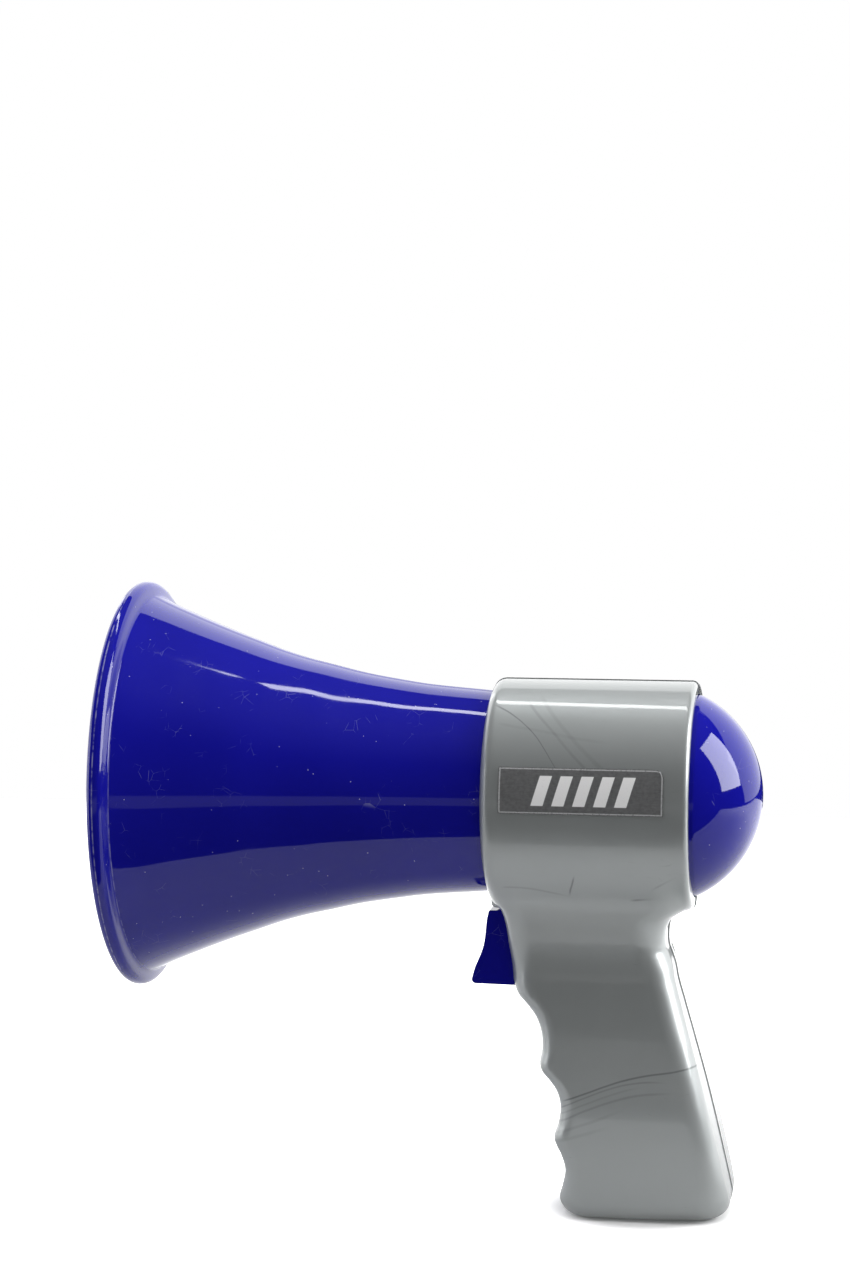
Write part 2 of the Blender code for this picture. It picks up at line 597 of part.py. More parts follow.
def batteries():
    """Four AA cells, nose to tail in pairs, each with a bump at its positive end."""
    half = CELL_LENGTH / 2
    profile = [(-half, 0.0), (-half, CELL_R - 0.6), (-half + 0.6, CELL_R), (half - 1.8, CELL_R)]
    profile += [(half - 1.2, CELL_R - 0.8), (half - 1.2, 2.6), (half, 2.6), (half, 0.0)]
    number = 0
    for column in (-1, 1):
        for row in (-1, 1):
            number += 1
            bm = turned(profile, 18)
            up = 90 if column * row > 0 else -90
            bmesh.ops.rotate(bm, verts=bm.verts, matrix=Matrix.Rotation(math.radians(up), 3, "X"))
            bmesh.ops.translate(bm, verts=bm.verts, vec=(column * CELL_PITCH, row * CELL_PITCH, 0))
            place(f"battery_{number}", bm, "cell", CELLS, (LEAN, 0, 0))


def contacts():
    """Steel plates at both ends of the tray, with a cone spring against each cell's flat end."""
    half = CELL_LENGTH / 2
    for end, name in ((1, "top"), (-1, "bottom")):
        low, high = sorted((end * 27.6, end * 27.2))
        for row, place_name in ((-1, "front"), (1, "rear")):
            middle = row * CELL_PITCH
            plate = block((-13.5, middle - 5.5, low), (13.5, middle + 5.5, high))
            place(f"contact_{name}_{place_name}", plate, "steel", CELLS, (LEAN, 0, 0))
    number = 0
    for column in (-1, 1):
        for row in (-1, 1):
            number += 1
            flat_end = -1 if column * row > 0 else 1
            bm = coil(2.2, 4.2, 0.25, 26.95 - half - 0.2, 2, 10)
            if flat_end < 0:
                bmesh.ops.rotate(bm, verts=bm.verts, matrix=Matrix.Rotation(math.pi, 3, "X"))
            shift = (column * CELL_PITCH, row * CELL_PITCH, flat_end * (half + 0.15))
            bmesh.ops.translate(bm, verts=bm.verts, vec=shift)
            place(f"contact_spring_{number}", bm, "steel", CELLS, (LEAN, 0, 0))


# ---------------------------------------------------------------- electronics
BOARD_X = 15.0
BOARD_LOW, BOARD_HIGH = (16.0, -15.0), (50.0, 15.0)
BOARD_POSTS = [(20.0, 11.0), (46.0, -11.0)]


def circuit_board():
    (y0, z0), (y1, z1) = BOARD_LOW, BOARD_HIGH
    board = place("circuit_board", block((BOARD_X - 0.8, y0, z0), (BOARD_X + 0.8, y1, z1)), "board")
    for y, z in BOARD_POSTS:
        cut(board, cutter(rod(1.3, (0, y, z), (30, y, z), 12)))
    place("amplifier_chip", block((10.6, 25.0, -3.2), (13.9, 41.0, 3.2)), "black_plastic")
    for number, (y, z) in enumerate(((23.0, -9.0), (40.0, 9.5)), 1):
        place(f"capacitor_{number}", rod(3.1, (5.0, y, z), (13.9, y, z), 14), "lead_black")
    for number, (y, z) in enumerate(BOARD_POSTS, 1):
        profile = [(-1.2, 0.0), (-1.2, 1.9), (0.0, 1.9), (0.0, 0.9), (6.5, 0.9), (7.2, 0.0)]
        bm = turned(profile, 12)
        bmesh.ops.rotate(bm, verts=bm.verts, matrix=Matrix.Rotation(math.radians(90), 3, "X"))
        place(f"board_screw_{number}", bm, "steel", (BOARD_X - 1.1, y, z), (0, math.radians(90), 0))


def leads():
    """The wires that the board needs: battery, speaker, microphone and switch."""
    lead("battery_lead_red", [(3, 47.5, -67.5), (5, 42, -60), (8, 38, -50), (11, 35, -38), (12.5, 32, -24),
                              (13.0, 31, -13), (13.0, 31, -8)], "lead_red")
    lead("battery_lead_black", [(-3, 47.0, -67.5), (-1, 40, -60), (3, 35.5, -50), (8, 32, -38), (11, 29, -24),
                                (12.6, 28, -13), (12.9, 28, -8)], "lead_black")
    lead("speaker_lead_1", [(10, 7.6, -6.5), (11, 10, -8.5), (12, 13.5, -9.5), (12.8, 16.5, -8), (13.1, 18, -6)],
         "lead_red")
    lead("speaker_lead_2", [(6, 7.6, -10.5), (7, 11, -13.5), (9.5, 14.5, -14.2), (12, 16.8, -13),
                            (13.2, 17.8, -12.2)], "lead_black")
    lead("microphone_lead", [(2, 73.2, 0), (3, 68, 0), (6, 60, 3), (9, 53, 4), (12.2, 47, 3), (13.2, 44.5, 1)],
         "lead_black", 0.9)
    lead("switch_lead", [(3, 23.6, -67), (4, 26.5, -64), (6, 26, -54), (8, 24, -42), (10.5, 22, -28),
                         (12.5, 20.5, -17), (13.1, 19.5, -13)], "lead_red")


def megaphone():
    clear_scene()
    hub = bpy.data.objects.new("hub", None)
    bpy.context.scene.collection.objects.link(hub)
    hub.location = Vector(HUB_PLACE) * MM
    horn()
    speaker_grille()
    speaker()
    rear_dome()
    microphone()
    outside = body_outside()
    shell(outside, 1)
    battery_door(outside, shell(outside, -1))
    bpy.data.objects.remove(outside, do_unlink=True)
    screws()
    trigger()
    trigger_parts()
    label("label_left", 1)
    label("label_right", -1)
    tray()
    batteries()
    contacts()
    circuit_board()
    leads()


megaphone()
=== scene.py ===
"""Looks of the toy megaphone: glossy blue horn, dome and trigger in silver-grey shells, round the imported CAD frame.

Shapes are worked out in millimetres from the hub, a point on the horn's axis just inside the body's front face.
From it +X is the megaphone's left side, +Y runs back towards the dome and +Z is up.
"""

import json
import math

import bmesh
import bpy
import numpy as np
from mathutils import Matrix, Vector


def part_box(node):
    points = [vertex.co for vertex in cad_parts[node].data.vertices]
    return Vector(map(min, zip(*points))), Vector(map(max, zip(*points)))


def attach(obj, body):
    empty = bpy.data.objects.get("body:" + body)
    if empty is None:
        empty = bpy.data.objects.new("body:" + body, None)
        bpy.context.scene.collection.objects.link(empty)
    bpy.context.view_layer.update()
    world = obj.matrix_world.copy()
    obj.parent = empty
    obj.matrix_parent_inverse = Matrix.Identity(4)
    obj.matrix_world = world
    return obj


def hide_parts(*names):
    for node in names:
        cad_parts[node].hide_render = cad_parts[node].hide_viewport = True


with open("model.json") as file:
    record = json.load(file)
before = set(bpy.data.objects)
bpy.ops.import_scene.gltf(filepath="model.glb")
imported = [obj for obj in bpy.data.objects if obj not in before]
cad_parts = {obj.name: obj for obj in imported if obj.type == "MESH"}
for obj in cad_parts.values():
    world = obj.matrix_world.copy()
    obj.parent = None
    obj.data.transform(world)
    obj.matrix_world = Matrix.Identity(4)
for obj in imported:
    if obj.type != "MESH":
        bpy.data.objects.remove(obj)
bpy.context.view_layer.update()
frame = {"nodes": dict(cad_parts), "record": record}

MM = 0.001
HORN_LOW, HORN_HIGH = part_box("horn")
TAIL_END = 9.0  # the horn's tail ends this far behind the hub
HUB = np.array([0.0, HORN_HIGH.y / MM - TAIL_END, (HORN_LOW.z + HORN_HIGH.z) / 2 / MM])
MOUTH_R = (HORN_HIGH.x - HORN_LOW.x) / 2 / MM
HORN_FRONT = HORN_LOW.y / MM - HUB[1]
GRIP_BASE = -HUB[2]
NECK_R = 31.5  # horn and dome where they enter the body
BODY_R = 36.0
BODY_START, BODY_END = -1.6, 62.6
PARTING = 0.15  # half of the line between the two shells


# ---------------------------------------------------------------- meshes
def new_piece(name, points, faces, smooth_angle=40):
    """A mesh object from hub millimetres: points as an (n, 3) array, faces as rows of indices."""
    mesh = bpy.data.meshes.new(name)
    faces = np.asarray(faces, np.int32)
    corners = faces.shape[1]
    mesh.vertices.add(len(points))
    mesh.vertices.foreach_set("co", ((np.asarray(points) + HUB) * MM).astype(np.float32).ravel())
    mesh.loops.add(faces.size)
    mesh.loops.foreach_set("vertex_index", faces.ravel())
    mesh.polygons.add(len(faces))
    mesh.polygons.foreach_set("loop_start", np.arange(0, faces.size, corners, dtype=np.int32))
    mesh.update(calc_edges=True)
    mesh.validate()
    mesh.shade_smooth()
    mesh.set_sharp_from_angle(angle=math.radians(smooth_angle))
    obj = bpy.data.objects.new(name, mesh)
    bpy.context.scene.collection.objects.link(obj)
    return obj


def grid_faces(rows, columns, wrap_rows=False, wrap_columns=True):
    """Quads between neighbouring rows and columns of a grid of points, numbered row by row."""
    i = np.arange(rows if wrap_rows else rows - 1)[:, None]
    j = np.arange(columns if wrap_columns else columns - 1)[None, :]
    i_next, j_next = (i + 1) % rows, (j + 1) % columns
    quads = np.stack([i * columns + j, i * columns + j_next, i_next * columns + j_next, i_next * columns + j], -1)
    return quads.reshape(-1, 4)


def read_points(obj):
    """The mesh's points in hub millimetres."""
    flat = np.empty(len(obj.data.vertices) * 3, np.float32)
    obj.data.vertices.foreach_get("co", flat)
    return flat.reshape(-1, 3).astype(float) / MM - HUB


def write_points(obj, points):
    """Puts hub millimetres back into the mesh."""
    obj.data.vertices.foreach_set("co", ((points + HUB) * MM).astype(np.float32).ravel())
    obj.data.update()


def settle(obj):
    """Applies every modifier of the object to its mesh."""
    bpy.context.view_layer.update()
    made = bpy.data.meshes.new_from_object(obj.evaluated_get(bpy.context.evaluated_depsgraph_get()))
    obj.modifiers.clear()
    obj.data = made
    return obj


def combine(target, operation, *tools):
    """Applies a Boolean for each tool, removes the tools and marks the edges that are sharp.

    The shells' cuts meet along slivers where the exact solver leaves open edges, so the manifold solver is used.
    """
    for tool in tools:
        step = target.modifiers.new("combine", "BOOLEAN")
        step.operation = operation
        step.solver = "MANIFOLD"
        step.object = tool
        settle(target)
        bpy.data.objects.remove(tool, do_unlink=True)
    target.data.shade_smooth()
    target.data.set_sharp_from_angle(angle=math.radians(40))
    return target


def cut(target, *tools):
    """Takes the tools away from the target."""
    return combine(target, "DIFFERENCE", *tools)


def about_x(angle):
    """The matrix that turns rows of points about X."""
    c, s = math.cos(angle), math.sin(angle)
    return np.array([[1, 0, 0], [0, c, s], [0, -s, c]])


def box_piece(low, high, turn=0.0, about=(0, 0, 0)):
    """A box between two corners, turned about X by an angle and then moved to a point."""
    low, high = np.array(low, float), np.array(high, float)
    unit = np.array([[x, y, z] for x in (0, 1) for y in (0, 1) for z in (0, 1)])
    points = (low + unit * (high - low)) @ about_x(turn) + np.array(about)
    faces = [[0, 1, 3, 2], [4, 6, 7, 5], [0, 4, 5, 1], [2, 3, 7, 6], [0, 2, 6, 4], [1, 5, 7, 3]]
    return new_piece("tool", points, faces)


def frame_along(run):
    """Two unit vectors square to a direction and to each other."""
    run = run / np.linalg.norm(run)
    side = np.cross(run, [0.0, 0.0, 1.0] if abs(run[2]) < 0.9 else [0.0, 1.0, 0.0])
    side /= np.linalg.norm(side)
    return side, np.cross(run, side)


def bar(start, end, radius):
    """A round bar: two rings joined, each closed by a fan round a point on the axis."""
    start, end = np.array(start, float), np.array(end, float)
    across, up = frame_along(end - start)
    turn = np.arange(32) * math.tau / 32
    ring = radius * (np.cos(turn)[:, None] * across + np.sin(turn)[:, None] * up)
    return closed_grid("tool", np.stack([start + 0 * ring, start + ring, end + ring, end + 0 * ring]))


def closed_grid(name, rings):
    """Rows of rings whose first and last rows have shrunk to a point: a closed skin with its doubles merged."""
    rows, columns = rings.shape[:2]
    return merged(new_piece(name, rings.reshape(-1, 3), grid_faces(rows, columns)))


def merged(obj, smooth_angle=40):
    """Merges doubled points, drops flat faces and turns the faces outwards."""
    bm = bmesh.new()
    bm.from_mesh(obj.data)
    bmesh.ops.remove_doubles(bm, verts=bm.verts, dist=1e-7)
    bmesh.ops.dissolve_degenerate(bm, dist=1e-8, edges=bm.edges)
    bmesh.ops.recalc_face_normals(bm, faces=bm.faces)
    bm.to_mesh(obj.data)
    bm.free()
    obj.data.shade_smooth()
    obj.data.set_sharp_from_angle(angle=math.radians(smooth_angle))
    return obj


# ---------------------------------------------------------------- curves
def through(keys, places):
    """A smooth curve through (place, value) keys: cubic pieces whose slopes are the mean of their neighbours'."""
    keys = np.array(sorted(keys), float)
    x, y = keys[:, 0], keys[:, 1]
    chords = np.diff(y) / np.diff(x)
    slopes = np.concatenate([chords[:1], (chords[1:] + chords[:-1]) / 2, chords[-1:]])
    i = np.clip(np.searchsorted(x, places) - 1, 0, len(x) - 2)
    width = x[i + 1] - x[i]
    t = np.clip((places - x[i]) / width, 0, 1)
    rise = (2 * t**3 - 3 * t**2 + 1) * y[i] + (3 * t**2 - 2 * t**3) * y[i + 1]
    return rise + width * ((t**3 - 2 * t**2 + t) * slopes[i] + (t**3 - t**2) * slopes[i + 1])


def rounded(corners, steps):
    """A path of (y, r, radius) corners, each rounded by an arc of its radius that touches both sides."""
    corners = [np.array(c, float) for c in corners]
    path = []
    count = len(corners)
    for i, corner in enumerate(corners):
        if i in (0, count - 1) or corner[2] <= 0:
            path.append(corner[:2])
            continue
        before = corners[i - 1][:2] - corner[:2]
        after = corners[i + 1][:2] - corner[:2]
        before, after = before / np.linalg.norm(before), after / np.linalg.norm(after)
        half = math.acos(np.clip(before @ after, -1, 1)) / 2
        reach = corner[2] / math.tan(half)
        centre = corner[:2] + (before + after) / np.linalg.norm(before + after) * corner[2] / math.sin(half)
        first = corner[:2] + before * reach - centre
        last = corner[:2] + after * reach - centre
        sweep = math.pi - 2 * half
        for t in np.linspace(0, 1, steps + 1):
            arm = (first * math.sin((1 - t) * sweep) + last * math.sin(t * sweep)) / math.sin(sweep)
            path.append(centre + arm)
    return np.array(path)


def turned(name, path, sides=192, smooth_angle=40):
    """A (y, r) path spun round the Y axis. It is a closed loop, or both its ends lie on the axis."""
    path = np.asarray(path, float)
    turn = np.arange(sides) * math.tau / sides
    rings = np.stack(
        [path[:, 1, None] * np.cos(turn), np.repeat(path[:, 0, None], sides, 1), path[:, 1, None] * np.sin(turn)], -1
    )
    open_ended = path[0, 1] < 1e-6 and path[-1, 1] < 1e-6
    faces = grid_faces(len(path), sides, wrap_rows=not open_ended)
    return merged(new_piece(name, rings.reshape(-1, 3), faces, smooth_angle), smooth_angle)


def smoothstep(low, high, value):
    """0 below low, 1 above high and 3t^2 - 2t^3 between them."""
    t = np.clip((value - low) / (high - low), 0, 1)
    return t * t * (3 - 2 * t)


# ---------------------------------------------------------------- horn
HORN_SKIN = [
    (-111.6, 60.2), (-106.0, 57.5), (-100.8, 55.3), (-93.0, 52.1), (-85.0, 49.0), (-77.3, 46.2), (-69.5, 43.4),
    (-61.7, 41.1), (-54.0, 39.3), (-43.6, 36.85), (-33.2, 35.05), (-23.0, 33.55), (-12.7, 32.6), (-6.2, 32.1),
    (0.5, NECK_R),
]
HORN_WALL = 1.2
RIM_BEAD_R = 2.1
RIM_LINE = -115.2  # where the rim is widest, and its moulds' flash line runs
RIM_END = -111.35  # where the rim's back meets the flare
RIM_BACK = [
    (RIM_LINE, MOUTH_R), (-114.2, 64.85), (-113.2, 64.3), (-112.5, 63.2), (-112.1, 61.9), (-111.8, 60.8),
    (RIM_END, 60.1),
]


def horn_path():
    """The horn's section: round bead, coved rim back, flared skin, captured flange, tail, seats and inner skin."""
    turn = np.radians(np.linspace(205, 92, 14))
    arc = RIM_BEAD_R * np.stack([np.cos(turn), np.sin(turn)], 1)
    bead = arc + [HORN_FRONT + RIM_BEAD_R, MOUTH_R - RIM_BEAD_R]
    back_y = np.linspace(RIM_LINE, RIM_END, 22)
    back = np.stack([back_y, through(RIM_BACK, back_y)], 1)
    skin_y = np.linspace(-111.2, 0.5, 60)
    skin = np.stack([skin_y, through(HORN_SKIN, skin_y)], 1)
    tail = rounded(
        [(0.5, NECK_R, 0), (2.9, NECK_R, 0.2), (2.9, 33.2, 0.2), (4.7, 33.2, 0.2), (4.7, 30.4, 0.2),
         (TAIL_END, 30.4, 0.2), (TAIL_END, 29.4, 0.2), (-4.8, 29.4, 0.2), (-4.8, 23.5, 0.2), (-6.0, 23.5, 0.2),
         (-6.0, 30.8, 0.2), (-16.6, 31.5, 0.2), (-16.6, 30.6, 0.2), (-17.9, 30.6, 0.2), (-17.9, 31.8, 0)], 2,
    )
    inner_y = np.linspace(-17.95, -111.0, 56)
    inner = np.stack([inner_y, through(HORN_SKIN, inner_y) - HORN_WALL], 1)
    mouth = rounded([(*inner[-1], 0), (-114.2, 60.45, 1.2), (*bead[0], 0)], 4)
    return np.vstack([bead, back, skin, tail[1:], inner[1:], mouth[1:-1]])


def horn():
    """The horn, with the mould's fine seam along its top and bottom and a worn flash line round the rim.

    Each point moves out along its radius: by a ridge beside the seam, and by a bell curve round the rim's line.
    """
    piece = turned("horn_shell", horn_path(), 256, 50)
    points = read_points(piece)
    radius = np.hypot(points[:, 0], points[:, 2])
    angle = np.arctan2(points[:, 0], points[:, 2])
    on_skin = (points[:, 1] < 0) & (radius > through(HORN_SKIN, np.clip(points[:, 1], -111.6, 0.5)) - 0.3)
    off_seam = np.minimum(np.abs(angle), math.pi - np.abs(angle)) * radius
    proud = np.where(points[:, 1] > -111.5, 0.30, 0.03)
    seam = proud * np.clip(1 - off_seam / 0.8, 0, 1) * on_skin
    on_rim = radius > MOUTH_R - 1.5
    flash = 0.03 * np.exp(-(((points[:, 1] - RIM_LINE) / 0.25) ** 2)) * on_rim
    flash *= 0.5 + 0.5 * np.sin(angle * 23 + 2 * np.sin(angle * 7))
    grown = 1 + (seam - 0.12 * on_rim + flash) / np.maximum(radius, 1)
    points[:, 0] *= grown
    points[:, 2] *= grown
    write_points(piece, points)
    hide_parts("horn")
    return piece


def speaker_grille():
    """The throat plate: a raised round centre with a soft edge, and four slots cut through it."""
    path = rounded(
        [(-21.4, 0, 0), (-21.4, 20.0, 0.7), (-19.6, 20.0, 0.3), (-19.6, 31.9, 0.3), (-18.3, 31.9, 0.3),
         (-18.3, 0, 0)], 5,
    )
    piece = turned("speaker_grille_plate", path, 160)
    for z in (14.1, 4.7, -4.7, -14.1):
        half = math.sqrt(18.8**2 - (abs(z) + 1.6) ** 2)
        cut(piece, slot_tool(half, 1.6, z))
    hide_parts("speaker_grille")
    return piece


def slot_tool(half, thick, z):
    """A bar across the plate with rounded ends: an outline of two half circles pushed along Y."""
    turn = np.linspace(-math.pi / 2, math.pi / 2, 9)
    end = 0.7
    corner_x = [half - end + end * math.cos(t) for t in turn]
    corner_z = [math.copysign(thick - end, t) + end * math.sin(t) if t else 0.0 for t in turn]
    x = np.array(corner_x + [-v for v in corner_x[::-1]])
    zz = np.array(corner_z + corner_z[::-1]) + z
    rows = []
    for y in (-25.0, -15.0):
        rows.append(np.stack([x, np.full_like(x, y), zz], 1))
    centre = [np.tile([[0.0, y, z]], (len(x), 1)) for y in (-25.0, -15.0)]
    return closed_grid("tool", np.stack([centre[0], rows[0], rows[1], centre[1]]))


# ---------------------------------------------------------------- dome
DOME_R = 35.0
DOME_CENTRE = 48.3


def rear_dome():
    """The dome: a short cylinder, then a sphere, with a rosette of seven small sound holes sunk at its pole."""
    lip = math.asin(NECK_R / DOME_R)
    turn = np.concatenate([[0.0], np.linspace(0.004, 0.135, 44), np.linspace(0.145, lip, 46)])
    sphere = np.stack([DOME_CENTRE + DOME_R * np.cos(turn), DOME_R * np.sin(turn)], 1)
    wall = 2.0
    inside_turn = np.linspace(math.asin((NECK_R - wall - 0.2) / (DOME_R - wall)), 0, 24)
    inside = np.stack([DOME_CENTRE + (DOME_R - wall) * np.cos(inside_turn), (DOME_R - wall) * np.sin(inside_turn)], 1)
    skirt = rounded(
        [(*sphere[-1], 0), (59.1, NECK_R, 0.2), (59.1, 33.2, 0.2), (57.2, 33.2, 0.2), (57.2, NECK_R - wall, 0.2),
         (*inside[0], 0)], 3,
    )
    piece = turned("dome_cap", np.vstack([sphere, skirt[1:], inside[1:]]), 192, 45)
    points = read_points(piece)
    near = points[:, 1] > DOME_CENTRE + DOME_R * 0.98
    depth = np.zeros(len(points))
    spots = [(0.0, 0.0)] + [(3.0 * math.cos(a), 3.0 * math.sin(a)) for a in np.arange(6) * math.tau / 6]
    for x, z in spots:
        off = np.hypot(points[:, 0] - x, points[:, 2] - z)
        depth = np.maximum(depth, 1.3 * (1 - smoothstep(0.52, 0.72, off)))
    points[:, 1] -= depth * near
    write_points(piece, points)
    piece.data.set_sharp_from_angle(angle=math.radians(55))
    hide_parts("rear_dome")
    return piece


# ---------------------------------------------------------------- shells
# The grip's outlines as (height, place): its front with the finger grooves, its back and its half width.
GRIP_FRONT = [
    (-10.0, 1.2), (-30.0, 0.6), (-33.5, 0.9), (-36.0, 2.3), (-40.0, 3.5), (-46.0, 4.3), (-54.0, 5.6), (-60.0, 6.5),
    (-63.0, 7.9), (-66.0, 10.8), (-69.5, 13.7), (-74.5, 15.7), (-80.0, 16.0), (-84.0, 15.4), (-86.5, 16.1),
    (-89.5, 18.7), (-92.5, 20.8), (-97.0, 22.1), (-102.5, 21.6), (-107.5, 20.2), (-109.5, 20.6), (-113.0, 22.3),
    (-118.0, 23.7), (-123.0, 22.9), (-127.5, 21.7), (-131.0, 21.9), (-140.0, 22.4),
]
GRIP_BACK = [
    (-10.0, 61.0), (-30.0, 61.3), (-33.5, 60.6), (-35.6, 58.6), (-37.5, 56.2), (-40.0, 54.7), (-43.5, 54.2),
    (-47.5, 54.5), (-50.5, 55.6), (-53.5, 56.6), (-58.0, 57.5), (-66.0, 59.8), (-78.0, 63.3), (-90.0, 66.7),
    (-102.0, 69.8), (-114.0, 72.7), (-126.0, 75.5), (-140.0, 78.5),
]
GRIP_HALF = [
    (-10.0, 27.0), (-21.0, 27.6), (-24.0, 26.6), (-27.0, 24.8), (-30.0, 22.7), (-33.0, 21.1), (-37.0, 19.75),
    (-42.0, 18.5), (-47.0, 17.45), (-51.0, 17.0), (-56.0, 17.0), (-61.0, 17.6), (-66.0, 18.4), (-74.0, 19.8),
    (-82.0, 20.6), (-91.0, 21.3), (-98.0, 21.65), (-106.0, 21.5), (-114.0, 21.2), (-124.0, 20.6), (-140.0, 19.6),
]


def rounded_corner(a, b, edge):
    """Distance from a corner rounded by edge, from the distances to two planes that run edge inside its sides."""
    return np.hypot(np.maximum(a, 0), np.maximum(b, 0)) + np.minimum(np.maximum(a, b), 0) - edge


def section_distance(x, y, z):
    """Distance from the grip's rounded rectangle at height z: tight corners in front, wider ones at the back."""
    half = through(GRIP_HALF, z)
    front = through(GRIP_FRONT, z)
    back = through(GRIP_BACK, z)
    middle = (front + back) / 2
    corner = np.where(y < middle, 5.5 + 3.0 * smoothstep(-78, -55, z), 7.6)
    corner = corner + 3.0 * smoothstep(-62, -45, z) * (y > middle) + 4.0 * smoothstep(-118, GRIP_BASE, z)
    a = np.abs(x) - half + corner
    b = np.abs(y - middle) - (back - front) / 2 + corner
    return rounded_corner(a, b, corner)


def grip_distance(x, y, z):
    """The sections, cut off by the base plane with a rounded edge, and closed inside the body."""
    side = section_distance(x, y, z)
    edge = 5.5 + 2.5 * smoothstep(45, 70, y)
    foot = rounded_corner(side + edge, GRIP_BASE - z + edge, edge)
    return np.maximum(foot, z + 14.0)


def body_distance(x, y, z):
    """A cylinder along Y with a wide rounding at its front edge and a small one at its back edge."""
    middle, half = (BODY_START + BODY_END) / 2, (BODY_END - BODY_START) / 2
    edge = np.where(y < middle, 4.0, 1.8)
    a = np.hypot(x, z) - BODY_R + edge
    b = np.abs(y - middle) - half + edge
    return rounded_corner(a, b, edge)


def visor_distance(x, y, z):
    """The small ledge over the trigger: a rounded block."""
    edge = 1.0
    a = np.abs(x) - 9.5 + edge
    b = np.abs(y - 2.0) - 3.3 + edge
    c = np.abs(z + 33.0) - 3.0 + edge
    outside = np.sqrt(np.maximum(a, 0) ** 2 + np.maximum(b, 0) ** 2 + np.maximum(c, 0) ** 2)
    return outside + np.minimum(np.maximum(np.maximum(a, b), c), 0) - edge


def soft_union(a, b, reach):
    """The smaller of two distances, with the corner between them filled by a soft curve."""
    h = np.clip(reach - np.abs(a - b), 0, None) / reach
    return np.minimum(a, b) - h * h * reach / 4


def case_distance(points):
    """Signed distance from the outside of the whole case, body and grip joined by a soft fillet."""
    x, y, z = points.T
    joined = soft_union(body_distance(x, y, z), grip_distance(x, y, z), 3.0)
    return soft_union(joined, visor_distance(x, y, z), 1.2)


def slope_of(field, points, step=0.02):
    """The field's gradient, by central differences."""
    moves = np.eye(3) * step
    return np.stack([(field(points + m) - field(points - m)) / (2 * step) for m in moves], 1)


def fitted(obj, field, rounds):
    """Moves every point along the field's gradient until it lies on the field's zero surface."""
    points = read_points(obj)
    for _ in range(rounds):
        value = field(points)
        slope = slope_of(field, points)
        points -= np.clip(value / np.maximum((slope**2).sum(1), 0.25), -1.5, 1.5)[:, None] * slope
    write_points(obj, points)
    return obj


def relaxed(obj, field, rounds):
    """Evens the mesh: each point moves towards the mean of its neighbours along the surface, then back onto it."""
    edges = np.empty(len(obj.data.edges) * 2, np.int32)
    obj.data.edges.foreach_get("vertices", edges)
    edges = edges.reshape(-1, 2)
    count = np.bincount(edges.ravel(), minlength=len(obj.data.vertices))[:, None]
    for _ in range(rounds):
        points = read_points(obj)
        total = np.zeros_like(points)
        for a, b in ((0, 1), (1, 0)):
            for axis in range(3):
                total[:, axis] += np.bincount(edges[:, a], points[edges[:, b], axis], len(points))
        pull = total / count - points
        normal = slope_of(field, points)
        normal /= np.linalg.norm(normal, axis=1)[:, None]
        pull -= (pull * normal).sum(1)[:, None] * normal
        write_points(obj, points + 0.6 * pull)
        fitted(obj, field, 1)
    return obj


def grip_stack(inset):
    """Rounded rectangles stacked down the grip, drawn in by inset: superellipses of each section's size."""
    heights = np.append(np.linspace(-20, GRIP_BASE + 5, 57), GRIP_BASE + (BASE_WALL if inset else 0.4))
    half = through(GRIP_HALF, heights) - inset - 0.4
    front = through(GRIP_FRONT, heights) + inset + 0.4
    back = through(GRIP_BACK, heights) - inset - 0.4
    turn = np.arange(40) * math.tau / 40
    squared = np.stack([np.sign(np.cos(turn)) * np.abs(np.cos(turn)) ** 0.45,
                        np.sign(np.sin(turn)) * np.abs(np.sin(turn)) ** 0.45], 1)
    rings = np.stack(
        [half[:, None] * squared[:, 0], (front + back)[:, None] / 2 + (back - front)[:, None] / 2 * squared[:, 1],
         np.repeat(heights[:, None], 40, 1)], -1,
    )
    caps = [np.tile(rings[i].mean(0), (1, 40, 1)) for i in (0, -1)]
    return closed_grid("tool", np.concatenate([caps[0], rings, caps[1]]))


def case_skin(voxel):
    """The case's skin: a turned body and a stacked grip, remeshed into even quads and fitted to the distance."""
    path = [(BODY_START, 0, 0), (BODY_START, BODY_R, 1.5), (BODY_END, BODY_R, 1.5), (BODY_END, 0, 0)]
    skin = combine(turned("skin", rounded(path, 3), 96), "UNION", grip_stack(0.0))
    remesh = skin.modifiers.new("even quads", "REMESH")
    remesh.mode = "VOXEL"
    remesh.voxel_size = voxel * MM
    settle(skin)
    fitted(skin, case_distance, 6)
    relaxed(skin, case_distance, 3)
    return fitted(skin, case_distance, 2)


WALL = 2.6
BASE_WALL = 1.6
LEAN = math.radians(15.3)  # the cells lean back with the grip
CELLS = np.array([0.0, 48.6, -99.5])
PIVOT = np.array([0.0, 9.0, -40.5])
PIVOT_HOLE_R = 1.6
SCREWS = [(13.5, 22.0), (49.5, 22.0), (45.5, -44.5), (33.0, -62.0), (30.5, -127.0)]  # as (y, z)
SCREW_HOLE_R = 1.6
SCREW_HEAD_R = 2.9
SHOULDER = -7.0  # where a screw head seats, along X
SLOT_LOW = (-8.0, -12.0, -62.0)
SLOT_HIGH = (8.0, 12.0, -36.3)
DOOR_LOW = (-60, -13.2, -27.0)
DOOR_HIGH = (-5, 13.2, 36.0)
DOOR_SCREW_HEIGHT = 32


